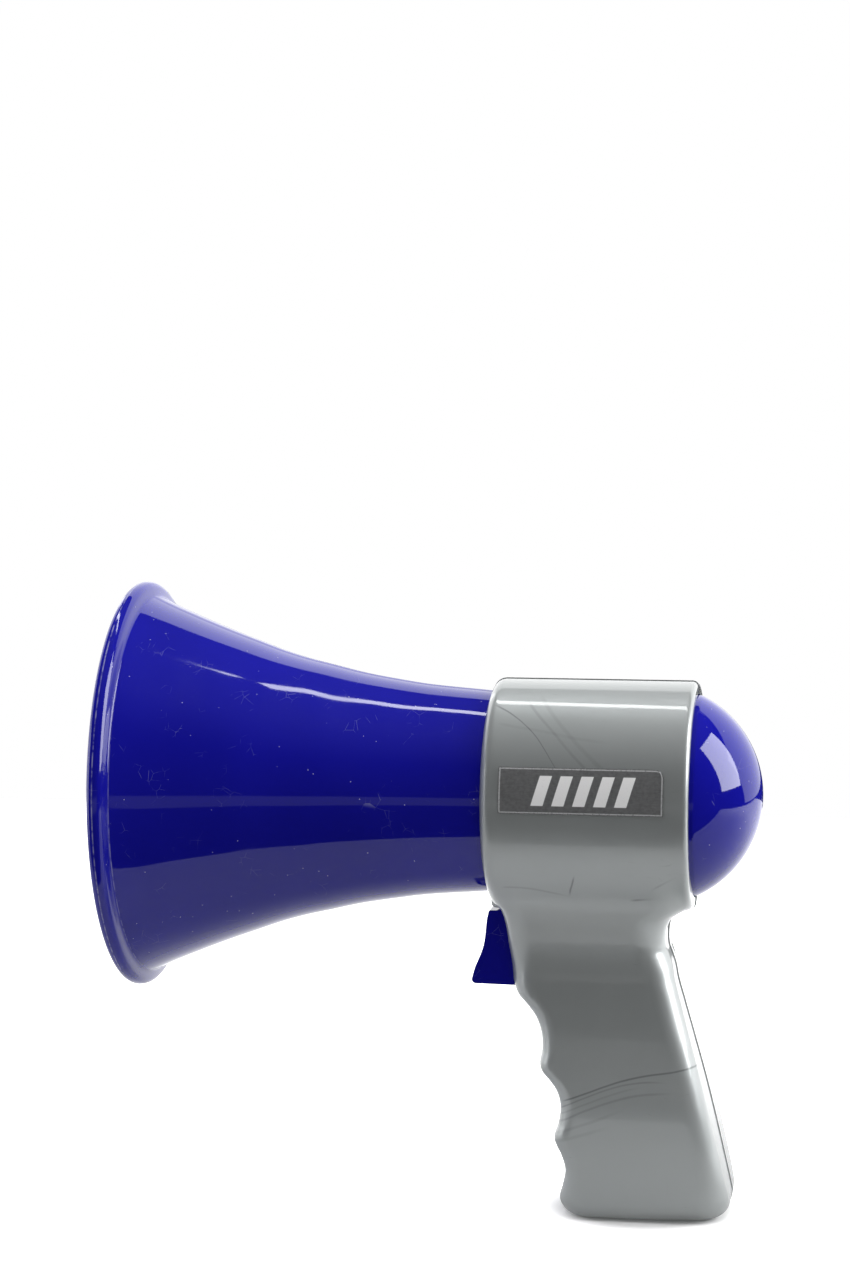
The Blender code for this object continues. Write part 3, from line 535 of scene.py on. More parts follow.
def hollow(side):
    """The room inside a shell: a stepped bore and the grip's inside, less the ribs and posts that hold the works."""
    bore = BODY_R - WALL
    path = [(-6, 0, 0), (-6, 32, 0), (2.5, 32, 0.2), (2.5, bore, 0.8), (59.5, bore, 0.8), (59.5, 32, 0.2), (66, 32, 0)]
    room = turned("tool", rounded([*path, (66, 0, 0)], 2), 96)
    combine(room, "UNION", grip_stack(WALL + 0.2))
    far = 45.0 * side
    low, high = sorted((0.0, far))
    ribs = [
        turned("tool", [(start, 31.0), (start, 40.0), (end, 40.0), (end, 31.0)], 96)
        for start, end in ((5.1, 6.9), (55.1, 56.8))
    ]
    posts = [bar((0, y, z), (far, y, z), 3.5) for y, z in SCREWS]
    boss = bar((8.3 * side, *PIVOT[1:]), (far, *PIVOT[1:]), 3.0)
    stops = [box_piece((low, 16.2, -58.0), (high, 17.8, -46.5)), box_piece((low, 17.4, -73.5), (high, 23.0, -71.2))]
    return cut(room, *ribs, *posts, boss, *stops)


def leaning(low, high):
    """A box in the battery compartment's own frame, which leans back with the grip."""
    return box_piece(low, high, turn=LEAN, about=CELLS)


def leaning_bar(start, end, radius):
    """A round bar in the battery compartment's own frame."""
    turn = about_x(LEAN)
    return bar(np.array(start) @ turn + CELLS, np.array(end) @ turn + CELLS, radius)


def twin(obj, name):
    """A second object with its own copy of the mesh."""
    copy = bpy.data.objects.new(name, obj.data.copy())
    bpy.context.scene.collection.objects.link(copy)
    return copy


def lipped_distance(points):
    """The right shell's skin stands a little proud of the left one's along the seam, as the moulds never quite meet."""
    x, _, z = points.T
    lip = 0.26 * (1 - smoothstep(0.2, 5.0, np.abs(x))) * smoothstep(GRIP_BASE, GRIP_BASE + 9, z)
    return case_distance(points) - lip


def true_normals(obj, field):
    """Corners that lie on the skin take the field's own normal, so that reflections run without ripples."""
    mesh = obj.data
    points = read_points(obj)
    on_skin = np.abs(field(points)) < 0.02
    normal = np.zeros_like(points)
    slope = slope_of(field, points[on_skin])
    normal[on_skin] = slope / np.linalg.norm(slope, axis=1)[:, None]
    corner = np.empty(len(mesh.loops), np.int32)
    mesh.loops.foreach_get("vertex_index", corner)
    sides = np.empty(len(mesh.polygons), np.int32)
    mesh.polygons.foreach_get("loop_total", sides)
    facing = np.empty(len(mesh.polygons) * 3, np.float32)
    mesh.polygons.foreach_get("normal", facing)
    facing = np.repeat(facing.reshape(-1, 3), sides, 0)
    wanted = normal[corner]
    wanted[(facing * wanted).sum(1) < 0.8] = 0
    mesh.normals_split_custom_set(wanted.tolist())


def case():
    """Both shells and the battery door, cut out of one skin so that their edges meet exactly."""
    skin = case_skin(0.7)
    shells = []
    for side, name, node in ((1, "left_case", "left_shell"), (-1, "right_case", "right_shell")):
        half = twin(skin, name)
        if side < 0:
            fitted(half, lipped_distance, 2)
        low, high = sorted((PARTING * side, 60.0 * side))
        combine(half, "INTERSECT", box_piece((low, -20, -150), (high, 90, 50)))
        cut(half, hollow(side), box_piece(SLOT_LOW, SLOT_HIGH))
        cut(half, bar((7.0 * side, *PIVOT[1:]), (11.4 * side, *PIVOT[1:]), PIVOT_HOLE_R))
        for y, z in SCREWS:
            if side > 0:
                cut(half, bar((-2, y, z), (12, y, z), SCREW_HOLE_R))
            else:
                cut(half, bar((2, y, z), (SHOULDER - 2, y, z), SCREW_HOLE_R))
                cut(half, bar((SHOULDER, y, z), (-60, y, z), SCREW_HEAD_R))
        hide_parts(node)
        shells.append(half)
    door = twin(skin, "battery_cover")
    combine(door, "INTERSECT", leaning(DOOR_LOW, DOOR_HIGH))
    cut(door, grip_stack(WALL + 0.2))
    combine(door, "UNION", leaning((-18.6, -6.0, -31.2), (-17.2, 6.0, -24.0)))
    cut(door, leaning_bar((-40, 0, DOOR_SCREW_HEIGHT), (-10, 0, DOOR_SCREW_HEIGHT), SCREW_HOLE_R))
    cut(door, leaning_bar((-40, 0, DOOR_SCREW_HEIGHT), (-17.5, 0, DOOR_SCREW_HEIGHT), SCREW_HEAD_R))
    cut(shells[1], leaning((-60, -13.5, -27.3), (-12, 13.5, 36.3)), leaning((-18.9, -6.3, -31.7), (-12, 6.3, -26.3)))
    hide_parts("battery_door")
    bpy.data.objects.remove(skin, do_unlink=True)
    for piece, field in zip((*shells, door), (case_distance, lipped_distance, case_distance)):
        true_normals(piece, field)
    return [*shells, door]


# ---------------------------------------------------------------- trigger
# The trigger's front as (height, place).
TRIGGER_FRONT = [
    (-37.9, -2.5), (-40.4, -3.0), (-43.4, -3.3), (-48.1, -3.9), (-51.6, -5.0), (-55.6, -6.7), (-59.2, -7.7),
]
TRIGGER_HALF = 7.0


def extruded(name, outline, half):
    """An outline of (y, z) points pushed to both sides along X, each side closed by one face."""
    outline = np.asarray(outline, float)
    count = len(outline)
    sides = [np.column_stack([np.full(count, x), outline]) for x in (-half, half)]
    mesh = bpy.data.meshes.new(name)
    ring = np.arange(count)
    following = np.roll(ring, -1)
    quads = np.stack([ring, following, following + count, ring + count], 1).tolist()
    points = (np.concatenate(sides) + HUB) * MM
    mesh.from_pydata(points.tolist(), [], quads + [ring[::-1].tolist(), (ring + count).tolist()])
    obj = bpy.data.objects.new(name, mesh)
    bpy.context.scene.collection.objects.link(obj)
    return merged(obj)


def trigger():
    """The trigger: a swept front with a sunk thumb-wide pad, hollow behind, with two ears that keep it in its slot."""
    heights = np.linspace(-37.9, -59.2, 22)
    front = np.column_stack([through(TRIGGER_FRONT, heights), heights])
    toe = rounded([(*front[-1], 0), (-8.0, -60.9, 1.3), (13.2, -61.2, 0)], 6)[1:]
    back = rounded([(13.2, -61.2, 0), (13.2, -58.8, 0.2), (12.4, -58.6, 0), (12.4, -40.0, 0.6), (11.0, -37.0, 0.6),
                    (-2.3, -37.2, 0.5), (*front[0], 0)], 4)[1:-1]
    piece = extruded("trigger_finger", np.vstack([front, toe, back]), TRIGGER_HALF)
    combine(piece, "UNION", box_piece((-9.6, 10.6, -58.0), (9.6, 12.1, -47.0)))
    cut(piece, box_piece((-5.5, -1.0, -58.9), (5.5, 20.0, -44.0)))
    pad_z = np.linspace(-39.6, -58.0, 20)
    pad = np.column_stack([through(TRIGGER_FRONT, pad_z) + 0.85, pad_z])
    cut(piece, extruded("tool", np.vstack([[[-14.0, pad_z[0]]], pad, [[-14.0, pad_z[-1]]]]), 5.2))
    cut(piece, bar((-12, *PIVOT[1:]), (12, *PIVOT[1:]), PIVOT_HOLE_R))
    edge = piece.modifiers.new("soft edges", "BEVEL")
    edge.width = 0.45 * MM
    edge.segments = 3
    edge.limit_method = "ANGLE"
    edge.angle_limit = math.radians(38)
    edge.harden_normals = True
    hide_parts("trigger")
    return piece


# ---------------------------------------------------------------- labels
def slab(name, outer, inner):
    """A plate between two grids of points of the same size, closed round its four edges, with its grid as UV map."""
    rows, columns = outer.shape[:2]
    count = rows * columns
    top = grid_faces(rows, columns, wrap_columns=False)
    index = np.arange(count).reshape(rows, columns)
    rim = np.concatenate([index[0, :-1], index[:-1, -1], index[-1, :0:-1], index[:0:-1, 0]])
    following = np.roll(rim, -1)
    wall = np.stack([rim, rim + count, following + count, following], 1)
    faces = np.concatenate([top, top[:, ::-1] + count, wall])
    obj = new_piece(name, np.concatenate([outer.reshape(-1, 3), inner.reshape(-1, 3)]), faces)
    v, u = np.meshgrid(np.linspace(0, 1, rows), np.linspace(0, 1, columns), indexing="ij")
    flat = np.column_stack([u.ravel(), v.ravel()])
    corner = np.empty(len(obj.data.loops), np.int32)
    obj.data.loops.foreach_get("vertex_index", corner)
    obj.data.uv_layers.new(name="sheet").data.foreach_set("uv", flat[corner % count].astype(np.float32).ravel())
    bm = bmesh.new()
    bm.from_mesh(obj.data)
    bmesh.ops.recalc_face_normals(bm, faces=bm.faces)
    bm.to_mesh(obj.data)
    bm.free()
    return obj


LABEL_LOW, LABEL_HIGH = 4.6, 55.2
LABEL_TURN = (-3.1, 19.6)  # degrees up from the horizontal, at its foot and its head


def label(name, side, node):
    """A foil label bent round the body: even thickness, square corners, one corner a little dented and lifted."""
    v, u = np.meshgrid(np.linspace(0, 1, 25), np.linspace(0, 1, 70), indexing="ij")
    y = LABEL_LOW + (LABEL_HIGH - LABEL_LOW) * u
    turn = np.radians(LABEL_TURN[0] + (LABEL_TURN[1] - LABEL_TURN[0]) * v)
    worn = np.clip(1 - np.hypot((1 - u) * 50, (1 - v) * 14) / 3.2, 0, 1) * (side > 0)
    y = y - 0.9 * worn**2 * v
    turn = turn - np.radians(1.0) * worn**2
    lift = 0.16 * np.sin(worn * math.pi)
    grids = []
    for radius in (BODY_R + 0.32, BODY_R + 0.08):
        r = radius + lift
        grids.append(np.stack([side * r * np.cos(turn), y, r * np.sin(turn)], -1))
    piece = slab(name, *grids)
    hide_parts(node)
    return piece


# ---------------------------------------------------------------- materials
class Field:
    """A value in a material's node tree. Arithmetic on it adds Math nodes."""

    def __init__(self, paint, socket):
        self.paint, self.socket = paint, socket

    def math(self, operation, *others):
        return self.paint.node("ShaderNodeMath", [self, *others], operation=operation)

    def __add__(self, other):
        return self.math("ADD", other)

    def __radd__(self, other):
        return self.math("ADD", other)

    def __sub__(self, other):
        return self.math("SUBTRACT", other)

    def __rsub__(self, other):
        return self.paint.node("ShaderNodeMath", [other, self], operation="SUBTRACT")

    def __mul__(self, other):
        return self.math("MULTIPLY", other)

    def __rmul__(self, other):
        return self.math("MULTIPLY", other)

    def __truediv__(self, other):
        return self.math("DIVIDE", other)

    def __pow__(self, other):
        return self.math("POWER", other)

    def __abs__(self):
        return self.math("ABSOLUTE")

    def above(self, level):
        """1 above the level and 0 below it."""
        return self.math("GREATER_THAN", level)

    def clamp(self):
        return self.paint.node("ShaderNodeClamp", {"Value": self})

    def between(self, low, high):
        """0 below low, 1 above high and a smooth rise between them."""
        made = {"Value": self, "From Min": low, "From Max": high}
        return self.paint.node("ShaderNodeMapRange", made, interpolation_type="SMOOTHSTEP")


class Paint:
    """A material being mixed on one Principled shader."""

    def __init__(self, name, **settings):
        self.material = bpy.data.materials.new(name)
        self.material.use_nodes = True
        self.tree = self.material.node_tree
        self.shader = self.tree.nodes["Principled BSDF"]
        self.set(**settings)

    def set(self, **settings):
        for key, value in settings.items():
            self.link(value, self.shader.inputs[key.replace("_", " ").title().replace("Ior", "IOR")])

    def link(self, value, socket):
        if isinstance(value, Field):
            self.tree.links.new(value.socket, socket)
        elif socket.type == "RGBA":
            socket.default_value = (*value, 1.0)[:4]
        else:
            socket.default_value = value

    def node(self, kind, inputs=(), output=0, **settings):
        """Adds a node: its settings first, then its sockets' values or links, by name or in order."""
        made = self.tree.nodes.new(kind)
        for key, value in settings.items():
            setattr(made, key, value)
        pairs = inputs.items() if isinstance(inputs, dict) else enumerate(inputs)
        for key, value in pairs:
            self.link(value, made.inputs[key])
        return Field(self, made.outputs[output])

    def place(self):
        """The hub's millimetres as a vector."""
        object_place = self.node("ShaderNodeTexCoord", output="Object")
        scale = (1 / MM,) * 3
        return self.node("ShaderNodeVectorMath", [object_place, scale, tuple(-HUB)], operation="MULTIPLY_ADD")

    def split(self, vector):
        """The vector's three parts."""
        return [self.node("ShaderNodeSeparateXYZ", [vector], output=axis) for axis in range(3)]

    def noise(self, vector, scale, detail=3.0, roughness=0.5, distortion=0.0):
        inputs = {"Vector": vector, "Scale": scale, "Detail": detail, "Roughness": roughness, "Distortion": distortion}
        return self.node("ShaderNodeTexNoise", inputs)

    def stretched(self, vector, scale, turn=(0, 0, 0)):
        return self.node("ShaderNodeMapping", {"Vector": vector, "Rotation": turn, "Scale": scale})

    def mix(self, factor, low, high):
        """A blend of two colours by a factor."""
        made = self.tree.nodes.new("ShaderNodeMix")
        made.data_type = "RGBA"
        for value, socket in ((factor, made.inputs[0]), (low, made.inputs[6]), (high, made.inputs[7])):
            self.link(value, socket)
        return Field(self, made.outputs[2])

    def specks(self, vector, scale, size, share):
        """Small round dots, 0 to 1, in a share of a grid of cells."""
        inputs = {"Vector": vector, "Scale": scale}
        near = self.node("ShaderNodeTexVoronoi", inputs, output="Distance")
        draw = self.split(self.node("ShaderNodeTexVoronoi", inputs, output="Color"))[0]
        return (1 - near.between(size * 0.6, size)) * draw.above(1 - share)

    def scratches(self, vector, scale, turn, width, share):
        """Fine straight lines that come and go, along X of a turned and stretched place."""
        laid = self.stretched(vector, (0.05, 1.0, 1.0), turn)
        edge = self.node("ShaderNodeTexVoronoi", {"Vector": laid, "Scale": scale}, feature="DISTANCE_TO_EDGE")
        shown = self.noise(vector, scale * 0.35).between(1 - share, 1 - share + 0.06)
        return (1 - edge.between(0.0, width)) * shown

    def bump(self, height, distance, strength=1.0, normal=None):
        inputs = {"Height": height, "Distance": distance * MM, "Strength": strength}
        if normal:
            inputs["Normal"] = normal
        return self.node("ShaderNodeBump", inputs)


def blue_gloss():
    """Moulded ultramarine: even and glossy, with dust specks, hair scratches, a pale ragged line along the rim's flash
    line and a painted highlight where the rim's back meets the flare.
    """
    paint = Paint("blue_gloss", coat_weight=0.0, ior=1.5)
    place = paint.place()
    x, y, z = paint.split(place)
    radius = (x * x + z * z) ** 0.5
    tone = paint.noise(place, 0.018, 2.0)
    blue = paint.mix(tone.between(0.3, 0.7), (0.0042, 0.0042, 0.215), (0.0056, 0.0056, 0.255))
    dust = paint.specks(place, 0.50, 0.092, 0.14) + paint.specks(place, 0.13, 0.028, 0.30)
    hairs = paint.scratches(place, 0.30, (0.3, 0.9, 1.2), 0.010, 0.40)
    hairs = hairs + paint.scratches(place, 0.22, (1.1, 0.2, 2.3), 0.008, 0.36)
    ragged = paint.noise(place, 0.5, 4.0).between(0.30, 0.62)
    at_edge = (radius - (MOUTH_R - 0.9)).above(0.0)
    # a pale ragged line along the rim's flash line, at its widest
    rim_line_and_highlight = (1 - abs(y + 115.15).between(0.10, 0.26)) * at_edge * ragged
    on_rim = (radius - 59.6).above(0.0)
    # painted highlight: a pale line where the rim's back meets the flare, faded out towards the top
    rim_line_and_highlight = rim_line_and_highlight + (1 - abs(y + 111.3).between(0.06, 0.18)) * on_rim * ragged * (1 - z.between(15, 40)) * 0.5
    scuffs = paint.noise(paint.stretched(place, (1.0, 3.0, 1.0)), 0.55, 5.0, 0.7).between(0.66, 0.74) * on_rim
    # worn mixes the dust, hairs and scuffs with the rim's pale flash line and its painted highlight
    worn = (dust * 0.7 + hairs * 0.16 + rim_line_and_highlight * 0.32 + scuffs * 0.25).clamp()
    colour = paint.mix(worn, blue, (0.62, 0.62, 0.78))
    smears = paint.noise(paint.stretched(place, (0.4, 1.0, 0.4)), 0.06, 4.0, 0.6)
    gloss = 0.045 + smears.between(0.45, 0.8) * 0.05 + worn * 0.3
    ripple = paint.noise(place, 0.035, 2.0)
    paint.set(base_color=colour, roughness=gloss, normal=paint.bump(ripple, 0.10, 0.5))
    return paint.material


def silver_gloss():
    """Silver-grey plastic with fine flake: dark flow lines curl across it where the melt met, and smudge its edges."""
    paint = Paint("silver_gloss", metallic=0.0, coat_weight=1.0, coat_roughness=0.05, coat_ior=1.45, ior=1.45)
    place = paint.place()
    _, y, z = paint.split(place)
    bend = paint.noise(place, 0.020, 2.0) - 0.5
    drift = paint.noise(paint.stretched(place, (1.0, 0.5, 1.0)), 0.045, 3.0) - 0.5

    def flow(first, last, height, slope, curl, width, strength):
        """A thin line along z = height + slope * (y - first) + curl * (y - first) ** 2, faded at both its ends."""
        run = y - first
        off = abs(z - height - run * slope - run * run * curl + bend * 3.0 + drift * 2.2)
        shown = run.between(-1.5, 1.5) * (1 - y.between(last - 9, last))
        return (1 - off.between(width * 0.2, width)) * shown * strength

    lines = flow(24, 76, -94.6, 0.46, -0.0045, 0.50, 0.9)
    for first, last, height, slope, curl, width, strength in (
        (21, 58, -98.2, 0.62, -0.0090, 0.45, 0.5), (20, 50, -100.6, 0.58, -0.0065, 0.50, 0.3),
        (20, 60, -103.0, 0.62, -0.0080, 0.60, 0.4), (20, 44, -105.9, 0.44, -0.0020, 0.80, 0.25),
        (20, 40, -108.2, 0.30, 0.0020, 0.90, 0.2), (2, 27, 29.6, -0.35, -0.0270, 0.40, 0.8),
        (12, 38, 30.0, -1.00, 0.0030, 0.90, 0.35), (16, 44, 31.0, -1.10, 0.0080, 1.30, 0.25),
        (4, 40, 24.0, -0.20, 0.0020, 0.70, 0.2), (5, 28, -27.0, 0.10, -0.0100, 0.50, 0.35),
        (45, 53, -30.0, 0.12, -0.0100, 0.55, 0.8), (52, 60, -26.0, 0.60, 0.0000, 0.60, 0.4),
    ):
        lines = lines + flow(first, last, height, slope, curl, width, strength)
    nick = (1 - abs(y - 26.5 - (z + 25.0) * 0.25 + drift * 3.0).between(0.15, 0.45))
    lines = lines + nick * (1 - abs(z + 25.5).between(1.5, 4.0)) * 0.8
    streaks = paint.noise(paint.stretched(place, (0.6, 0.25, 1.0), (0.5, 0, 0)), 0.35, 4.0, 0.6, 1.2)
    smudge = streaks.between(0.66, 0.80) * paint.noise(place, 0.05, 2.0).between(0.50, 0.62)
    dark = (lines * 0.6 + smudge * 0.3).clamp()
    flake = paint.noise(place, 6.0, 1.0)
    tone = (paint.noise(place, 0.03, 3.0) - 0.5) * 0.5 + (flake - 0.5) * 0.35 + 0.5
    silver = paint.mix(tone.clamp(), (0.370, 0.395, 0.398), (0.445, 0.469, 0.469))
    colour = paint.mix(dark, silver, (0.055, 0.058, 0.060))
    metal = 0.62 + (flake - 0.5) * 0.2 - dark * 0.2
    gloss = 0.43 + (tone - 0.5) * 0.12 + dark * 0.1
    grain = paint.noise(place, 2.6, 2.0)
    ripple = paint.noise(place, 0.05, 2.0)
    waves = paint.bump(ripple, 0.18, 0.5)
    paint.set(base_color=colour, metallic=metal, roughness=gloss, normal=paint.bump(grain, 0.006, 0.4, waves))
    return paint.material


def label_print():
    """Dark brushed foil with a bright outline and a plain row of slanted white bars."""
    paint = Paint("label_print", metallic=0.0, coat_weight=0.4, coat_roughness=0.18)
    sheet = paint.node("ShaderNodeUVMap", uv_map="sheet")
    u, v, _ = paint.split(sheet)
    width, height = LABEL_HIGH - LABEL_LOW, math.radians(LABEL_TURN[1] - LABEL_TURN[0]) * BODY_R
    across, up = u * width, v * height
    edge = across.math("MINIMUM", width - across).math("MINIMUM", up.math("MINIMUM", height - up))
    place = paint.place()
    brushed = paint.noise(paint.stretched(place, (1.0, 0.3, 3.0)), 1.3, 4.0, 0.65)
    mottle = paint.noise(place, 0.9, 3.0)
    worn = paint.noise(place, 2.2, 5.0, 0.7)
    outline = (1 - abs(edge - 0.45).between(0.10, 0.28)) * worn.between(0.32, 0.5)
    bar_pitch, bar_width, lean = 6.4, 3.9, 0.30
    slanted = across - up * lean - width / 2 + 1.3
    in_row = 1 - abs(slanted).between(bar_pitch * 2.5 - 0.3, bar_pitch * 2.5)
    step = slanted / bar_pitch + 0.5
    off = abs(step.math("FRACT") - 0.5) * bar_pitch
    bars = (1 - off.between(bar_width / 2 - 0.15, bar_width / 2)) * in_row
    bars = bars * (1 - abs(up - height / 2).between(4.5, 4.65)) * (0.88 + worn.between(0.3, 0.45) * 0.12)
    dirt = mottle.between(0.35, 0.75)
    foil = paint.mix(brushed, (0.125, 0.127, 0.130), (0.235, 0.238, 0.242))
    foil = paint.mix(dirt * 0.4, foil, (0.095, 0.096, 0.100))
    rubbed = (1 - edge.between(0.0, 0.22)) * worn.between(0.5, 0.62)
    colour = paint.mix((outline * 0.9 + rubbed * 0.5).clamp(), foil, (0.62, 0.63, 0.64))
    colour = paint.mix(bars, colour, (0.80, 0.80, 0.80))
    metal = 0.35 * (1 - bars)
    paint.set(base_color=colour, metallic=metal, roughness=0.34 + brushed * 0.2, normal=paint.bump(brushed, 0.02, 0.5))
    return paint.material


def plain(name, low, high, rough, scale=0.4, metallic=0.0, stretch=(1, 1, 1), relief=0.02, **settings):
    """A finish between two colours that follows a grain, with a little relief and a varying gloss."""
    paint = Paint(name, metallic=metallic, **settings)
    place = paint.stretched(paint.place(), stretch)
    grain = paint.noise(place, scale, 4.0, 0.6)
    fine = paint.noise(place, scale * 6, 2.0)
    colour = paint.mix(grain.between(0.3, 0.7), low, high)
    gloss = rough + (fine - 0.5) * 0.2 * rough
    paint.set(base_color=colour, roughness=gloss, normal=paint.bump(fine * 0.5 + grain * 0.5, relief, 0.5))
    return paint.material


def cell():
    """A battery's printed sleeve: black with a copper-coloured shoulder, and bare metal at its ends."""
    paint = Paint("cell", coat_weight=0.6, coat_roughness=0.1)
    c, s = math.cos(LEAN), math.sin(LEAN)
    _, y, z = paint.split(paint.place())
    along = (y - CELLS[1]) * -s + (z - CELLS[2]) * c
    shoulder = abs(along).between(15.0, 15.2)
    tip = abs(along).between(25.2, 25.3)
    wear = paint.noise(paint.place(), 0.8, 4.0)
    colour = paint.mix(shoulder, (0.012, 0.012, 0.014), (0.55, 0.27, 0.10))
    colour = paint.mix(tip, colour, (0.60, 0.60, 0.61))
    paint.set(base_color=colour, metallic=(shoulder + tip).clamp() * 0.8, roughness=0.25 + wear * 0.15)
    return paint.material


def board():
    """Brown laminate with a green-gold track pattern under its lacquer."""
    paint = Paint("board", coat_weight=0.5, coat_roughness=0.15)
    place = paint.place()
    weave = paint.noise(paint.stretched(place, (1, 6, 1)), 1.2, 3.0)
    tracks = paint.node(
        "ShaderNodeTexVoronoi", {"Vector": place, "Scale": 0.28}, feature="DISTANCE_TO_EDGE", distance="MANHATTAN"
    )
    copper = 1 - tracks.between(0.06, 0.09)
    colour = paint.mix(weave, (0.23, 0.12, 0.045), (0.31, 0.17, 0.07))
    colour = paint.mix(copper * 0.8, colour, (0.42, 0.30, 0.11))
    paint.set(base_color=colour, roughness=0.45 - copper * 0.1, normal=paint.bump(copper, 0.05))
    return paint.material


def finishes():
    """Every material slot's finish."""
    return {
        "blue_gloss": blue_gloss(),
        "silver_gloss": silver_gloss(),
        "label_print": label_print(),
        "steel": plain("steel", (0.48, 0.48, 0.49), (0.64, 0.64, 0.65), 0.26, 1.5, 1.0, (1, 1, 4), 0.01),
        "brass": plain("brass", (0.60, 0.42, 0.16), (0.76, 0.58, 0.28), 0.28, 1.2, 1.0, (1, 4, 1), 0.01),
        "black_plastic": plain("black_plastic", (0.014, 0.014, 0.015), (0.026, 0.026, 0.028), 0.42, 0.5),
        "cone_paper": plain("cone_paper", (0.030, 0.028, 0.026), (0.075, 0.070, 0.062), 0.85, 1.6, relief=0.08),
        "foam": plain("foam", (0.010, 0.010, 0.011), (0.034, 0.034, 0.036), 0.95, 2.2, relief=0.2),
        "magnet": plain("magnet", (0.06, 0.06, 0.065), (0.12, 0.12, 0.125), 0.5, 0.9, 0.5, relief=0.05),
        "board": board(),
        "cell": cell(),
        "lead_red": plain("lead_red", (0.38, 0.012, 0.008), (0.52, 0.030, 0.020), 0.38, 0.7),
        "lead_black": plain("lead_black", (0.010, 0.010, 0.010), (0.022, 0.022, 0.024), 0.36, 0.7),
    }


# ---------------------------------------------------------------- the object
def assemble():
    """Makes every new piece, puts it on its body and gives each piece and each CAD node its finish."""
    looks = finishes()
    new_pieces = {
        "blue_gloss": [horn(), speaker_grille(), rear_dome()],
        "silver_gloss": case(),
        "label_print": [label("left_label_foil", 1, "label_left"), label("right_label_foil", -1, "label_right")],
    }
    finger = trigger()
    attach(finger, "trigger")
    for pieces in new_pieces.values():
        for piece in pieces:
            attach(piece, "case")
    new_pieces["blue_gloss"].append(finger)
    for finish, pieces in new_pieces.items():
        for piece in pieces:
            piece.data.materials.clear()
            piece.data.materials.append(looks[finish])
    for part in frame["record"]["subparts"]:
        node = frame["nodes"][part["node"]]
        for material_slot in node.material_slots:
            material_slot.material = looks[part["material_slot"]]


# ---------------------------------------------------------------- studio
def direction(azimuth, elevation):
    """The unit vector from the object to a viewer, azimuth 0 in front and 90 on its left side."""
    a, e = math.radians(azimuth), math.radians(elevation)
    return Vector((math.sin(a) * math.cos(e), -math.cos(a) * math.cos(e), math.sin(e)))


CAMERA_TARGET = np.array([-1.15, -11.53, -20.94])  # from the hub, millimetres
CAMERA_DISTANCE = 0.95796  # metres


def camera():
    """A long lens low on the left side, a little behind square, with its frame shifted on the object."""
    target = Vector(HUB + CAMERA_TARGET) * MM
    back = direction(98.98, 8.80)
    data = bpy.data.cameras.new("camera")
    data.sensor_width = 36
    data.lens = 84.64
    data.shift_x = -0.0308
    data.shift_y = 0.170
    data.clip_start = 0.01
    data.clip_end = 50
    obj = bpy.data.objects.new("camera", data)
    right = Vector((0, 0, 1)).cross(back).normalized()
    up = back.cross(right)
    roll = Matrix.Rotation(math.radians(0.11), 3, back)
    turn = Matrix((roll @ right, roll @ up, back)).transposed()
    obj.matrix_world = Matrix.Translation(target + back * CAMERA_DISTANCE) @ turn.to_4x4()
    bpy.context.scene.collection.objects.link(obj)
    bpy.context.scene.camera = obj


def softbox(name, offset, size, radiance, along=(0, 1, 0), mirrored=True):
    """A rectangular light at an offset from the hub in metres, which it looks at, its second side along a direction.

    Its power gives the radiance asked for over its face.
    """
    data = bpy.data.lights.new(name, "AREA")
    data.shape = "RECTANGLE"
    data.size, data.size_y = size
    data.energy = radiance * math.pi * size[0] * size[1]
    obj = bpy.data.objects.new(name, data)
    back = Vector(offset).normalized()
    across = Vector(along).cross(back).normalized()
    turn = Matrix((across, back.cross(across), back)).transposed()
    obj.matrix_world = Matrix.Translation(Vector(HUB) * MM + Vector(offset)) @ turn.to_4x4()
    obj.visible_camera = False
    obj.visible_glossy = mirrored
    bpy.context.scene.collection.objects.link(obj)


def floor_piece(name, low, high, height, tones, glow):
    """A flat white sheet with a faint grain between two tones. Its glow is a function of the place on it."""
    (x0, y0), (x1, y1) = low, high
    mesh = bpy.data.meshes.new(name)
    mesh.from_pydata([(x0, y0, height), (x1, y0, height), (x1, y1, height), (x0, y1, height)], [], [(0, 1, 2, 3)])
    obj = bpy.data.objects.new(name, mesh)
    bpy.context.scene.collection.objects.link(obj)
    paint = Paint(name, roughness=0.9, emission_strength=1.0)
    place = paint.place()
    grain = paint.noise(place, 0.4, 3.0)
    light = glow(paint.split(place))
    white = paint.mix(light, (0, 0, 0), (1, 1, 1))
    paint.set(base_color=paint.mix(grain, (tones[0],) * 3, (tones[1],) * 3), emission_color=white)
    mesh.materials.append(paint.material)
    return obj


def seen_glow(place):
    """None round the foot, where the contact shadow is, and enough further out to lift the horn's soft shadow."""
    x, y, _ = place
    off = y - 49.0
    return ((x * x + off * off * 0.8) ** 0.5).between(22.0, 34.0) * 0.78


def mirrored_glow(place):
    """The table brightens towards the lit paper behind the object."""
    return 0.12 + (0 - place[0]).between(10.0, 400.0) * 0.88


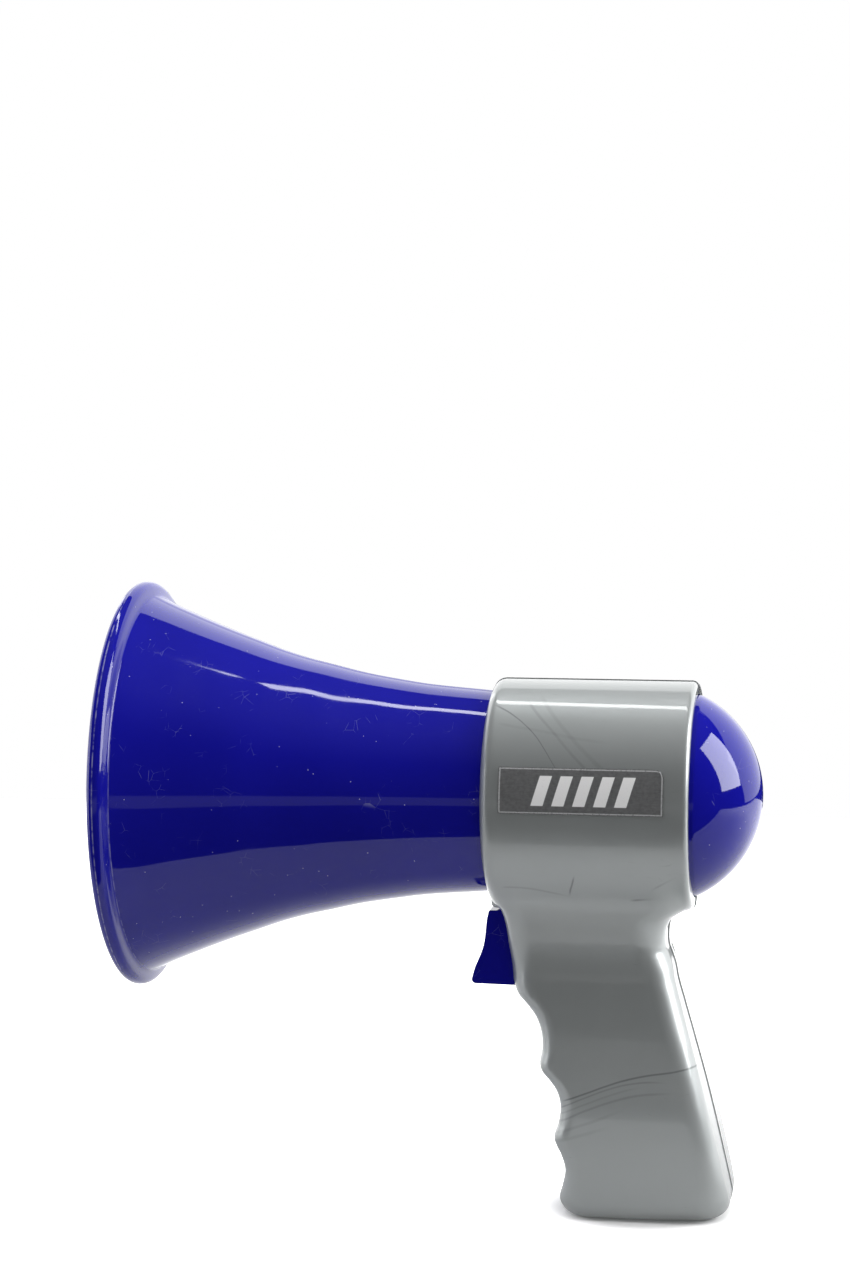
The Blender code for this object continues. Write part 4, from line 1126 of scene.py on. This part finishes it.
def studio():
    """A white table in a white room for the camera, while gloss mirrors a dim room, a tube, a wall and a window."""
    scene = bpy.context.scene
    scene.view_settings.view_transform = "Standard"
    seen = floor_piece("table_seen", (-0.9, -0.9), (0.9, 0.9), -0.0002, (0.86, 0.90), seen_glow)
    seen.visible_glossy = seen.visible_diffuse = False
    mirrored = floor_piece("table_mirrored", (-0.9, -0.9), (0.150, 0.9), -0.0010, (0.62, 0.66), mirrored_glow)
    mirrored.visible_camera = False

    world = bpy.data.worlds.new("white room")
    scene.world = world
    world.use_nodes = True
    tree = world.node_tree
    tree.nodes.clear()

    def node(kind, **settings):
        made = tree.nodes.new(kind)
        for key, value in settings.items():
            setattr(made, key, value)
        return made

    rays, sky = node("ShaderNodeLightPath"), node("ShaderNodeTexCoord")
    height, glow = node("ShaderNodeSeparateXYZ"), node("ShaderNodeMapRange", interpolation_type="SMOOTHSTEP")
    tree.links.new(sky.outputs["Generated"], height.inputs[0])
    tree.links.new(height.outputs["Z"], glow.inputs["Value"])
    for key, value in (("From Min", 0.50), ("From Max", 1.0), ("To Min", 0.02), ("To Max", 0.15)):
        glow.inputs[key].default_value = value
    shades = [node("ShaderNodeBackground") for _ in range(3)]
    shades[0].inputs["Strength"].default_value = 0.46
    tree.links.new(glow.outputs[0], shades[1].inputs["Strength"])
    current = shades[0]
    for shade, kind in zip(shades, (None, "Is Glossy Ray", "Is Camera Ray")):
        shade.inputs["Color"].default_value = (1, 1, 1, 1)
        if kind:
            mix = node("ShaderNodeMixShader")
            tree.links.new(rays.outputs[kind], mix.inputs[0])
            tree.links.new(current.outputs[0], mix.inputs[1])
            tree.links.new(shade.outputs[0], mix.inputs[2])
            current = mix
    tree.links.new(current.outputs[0], node("ShaderNodeOutputWorld").inputs["Surface"])

    softbox("sky_panel", (0.10, 0, 1.3), (1.0, 1.4), 3.0, mirrored=False)
    softbox("tube", (-0.262, -0.102, 0.90), (0.07, 0.555), 9.5, along=(0.53, 1, 0))
    softbox("back_wall", (-1.5, 0.5, 0.62), (1.55, 4.2), 1.35)
    softbox("window", (-0.09, 0.95, 0.43), (0.52, 0.75), 8.0, along=(0, 0, 1))
    softbox("front_wall", (-0.7, -1.4, 0.3), (1.5, 2.0), 1.5)
    softbox("front_box", (0.25, -1.2, 0), (0.45, 0.8), 2.6, along=(0, 0, 1))
    softbox("front_rail", (1.5, 0, -0.14), (0.22, 2.4), 0.28)


assemble()
camera()
studio()
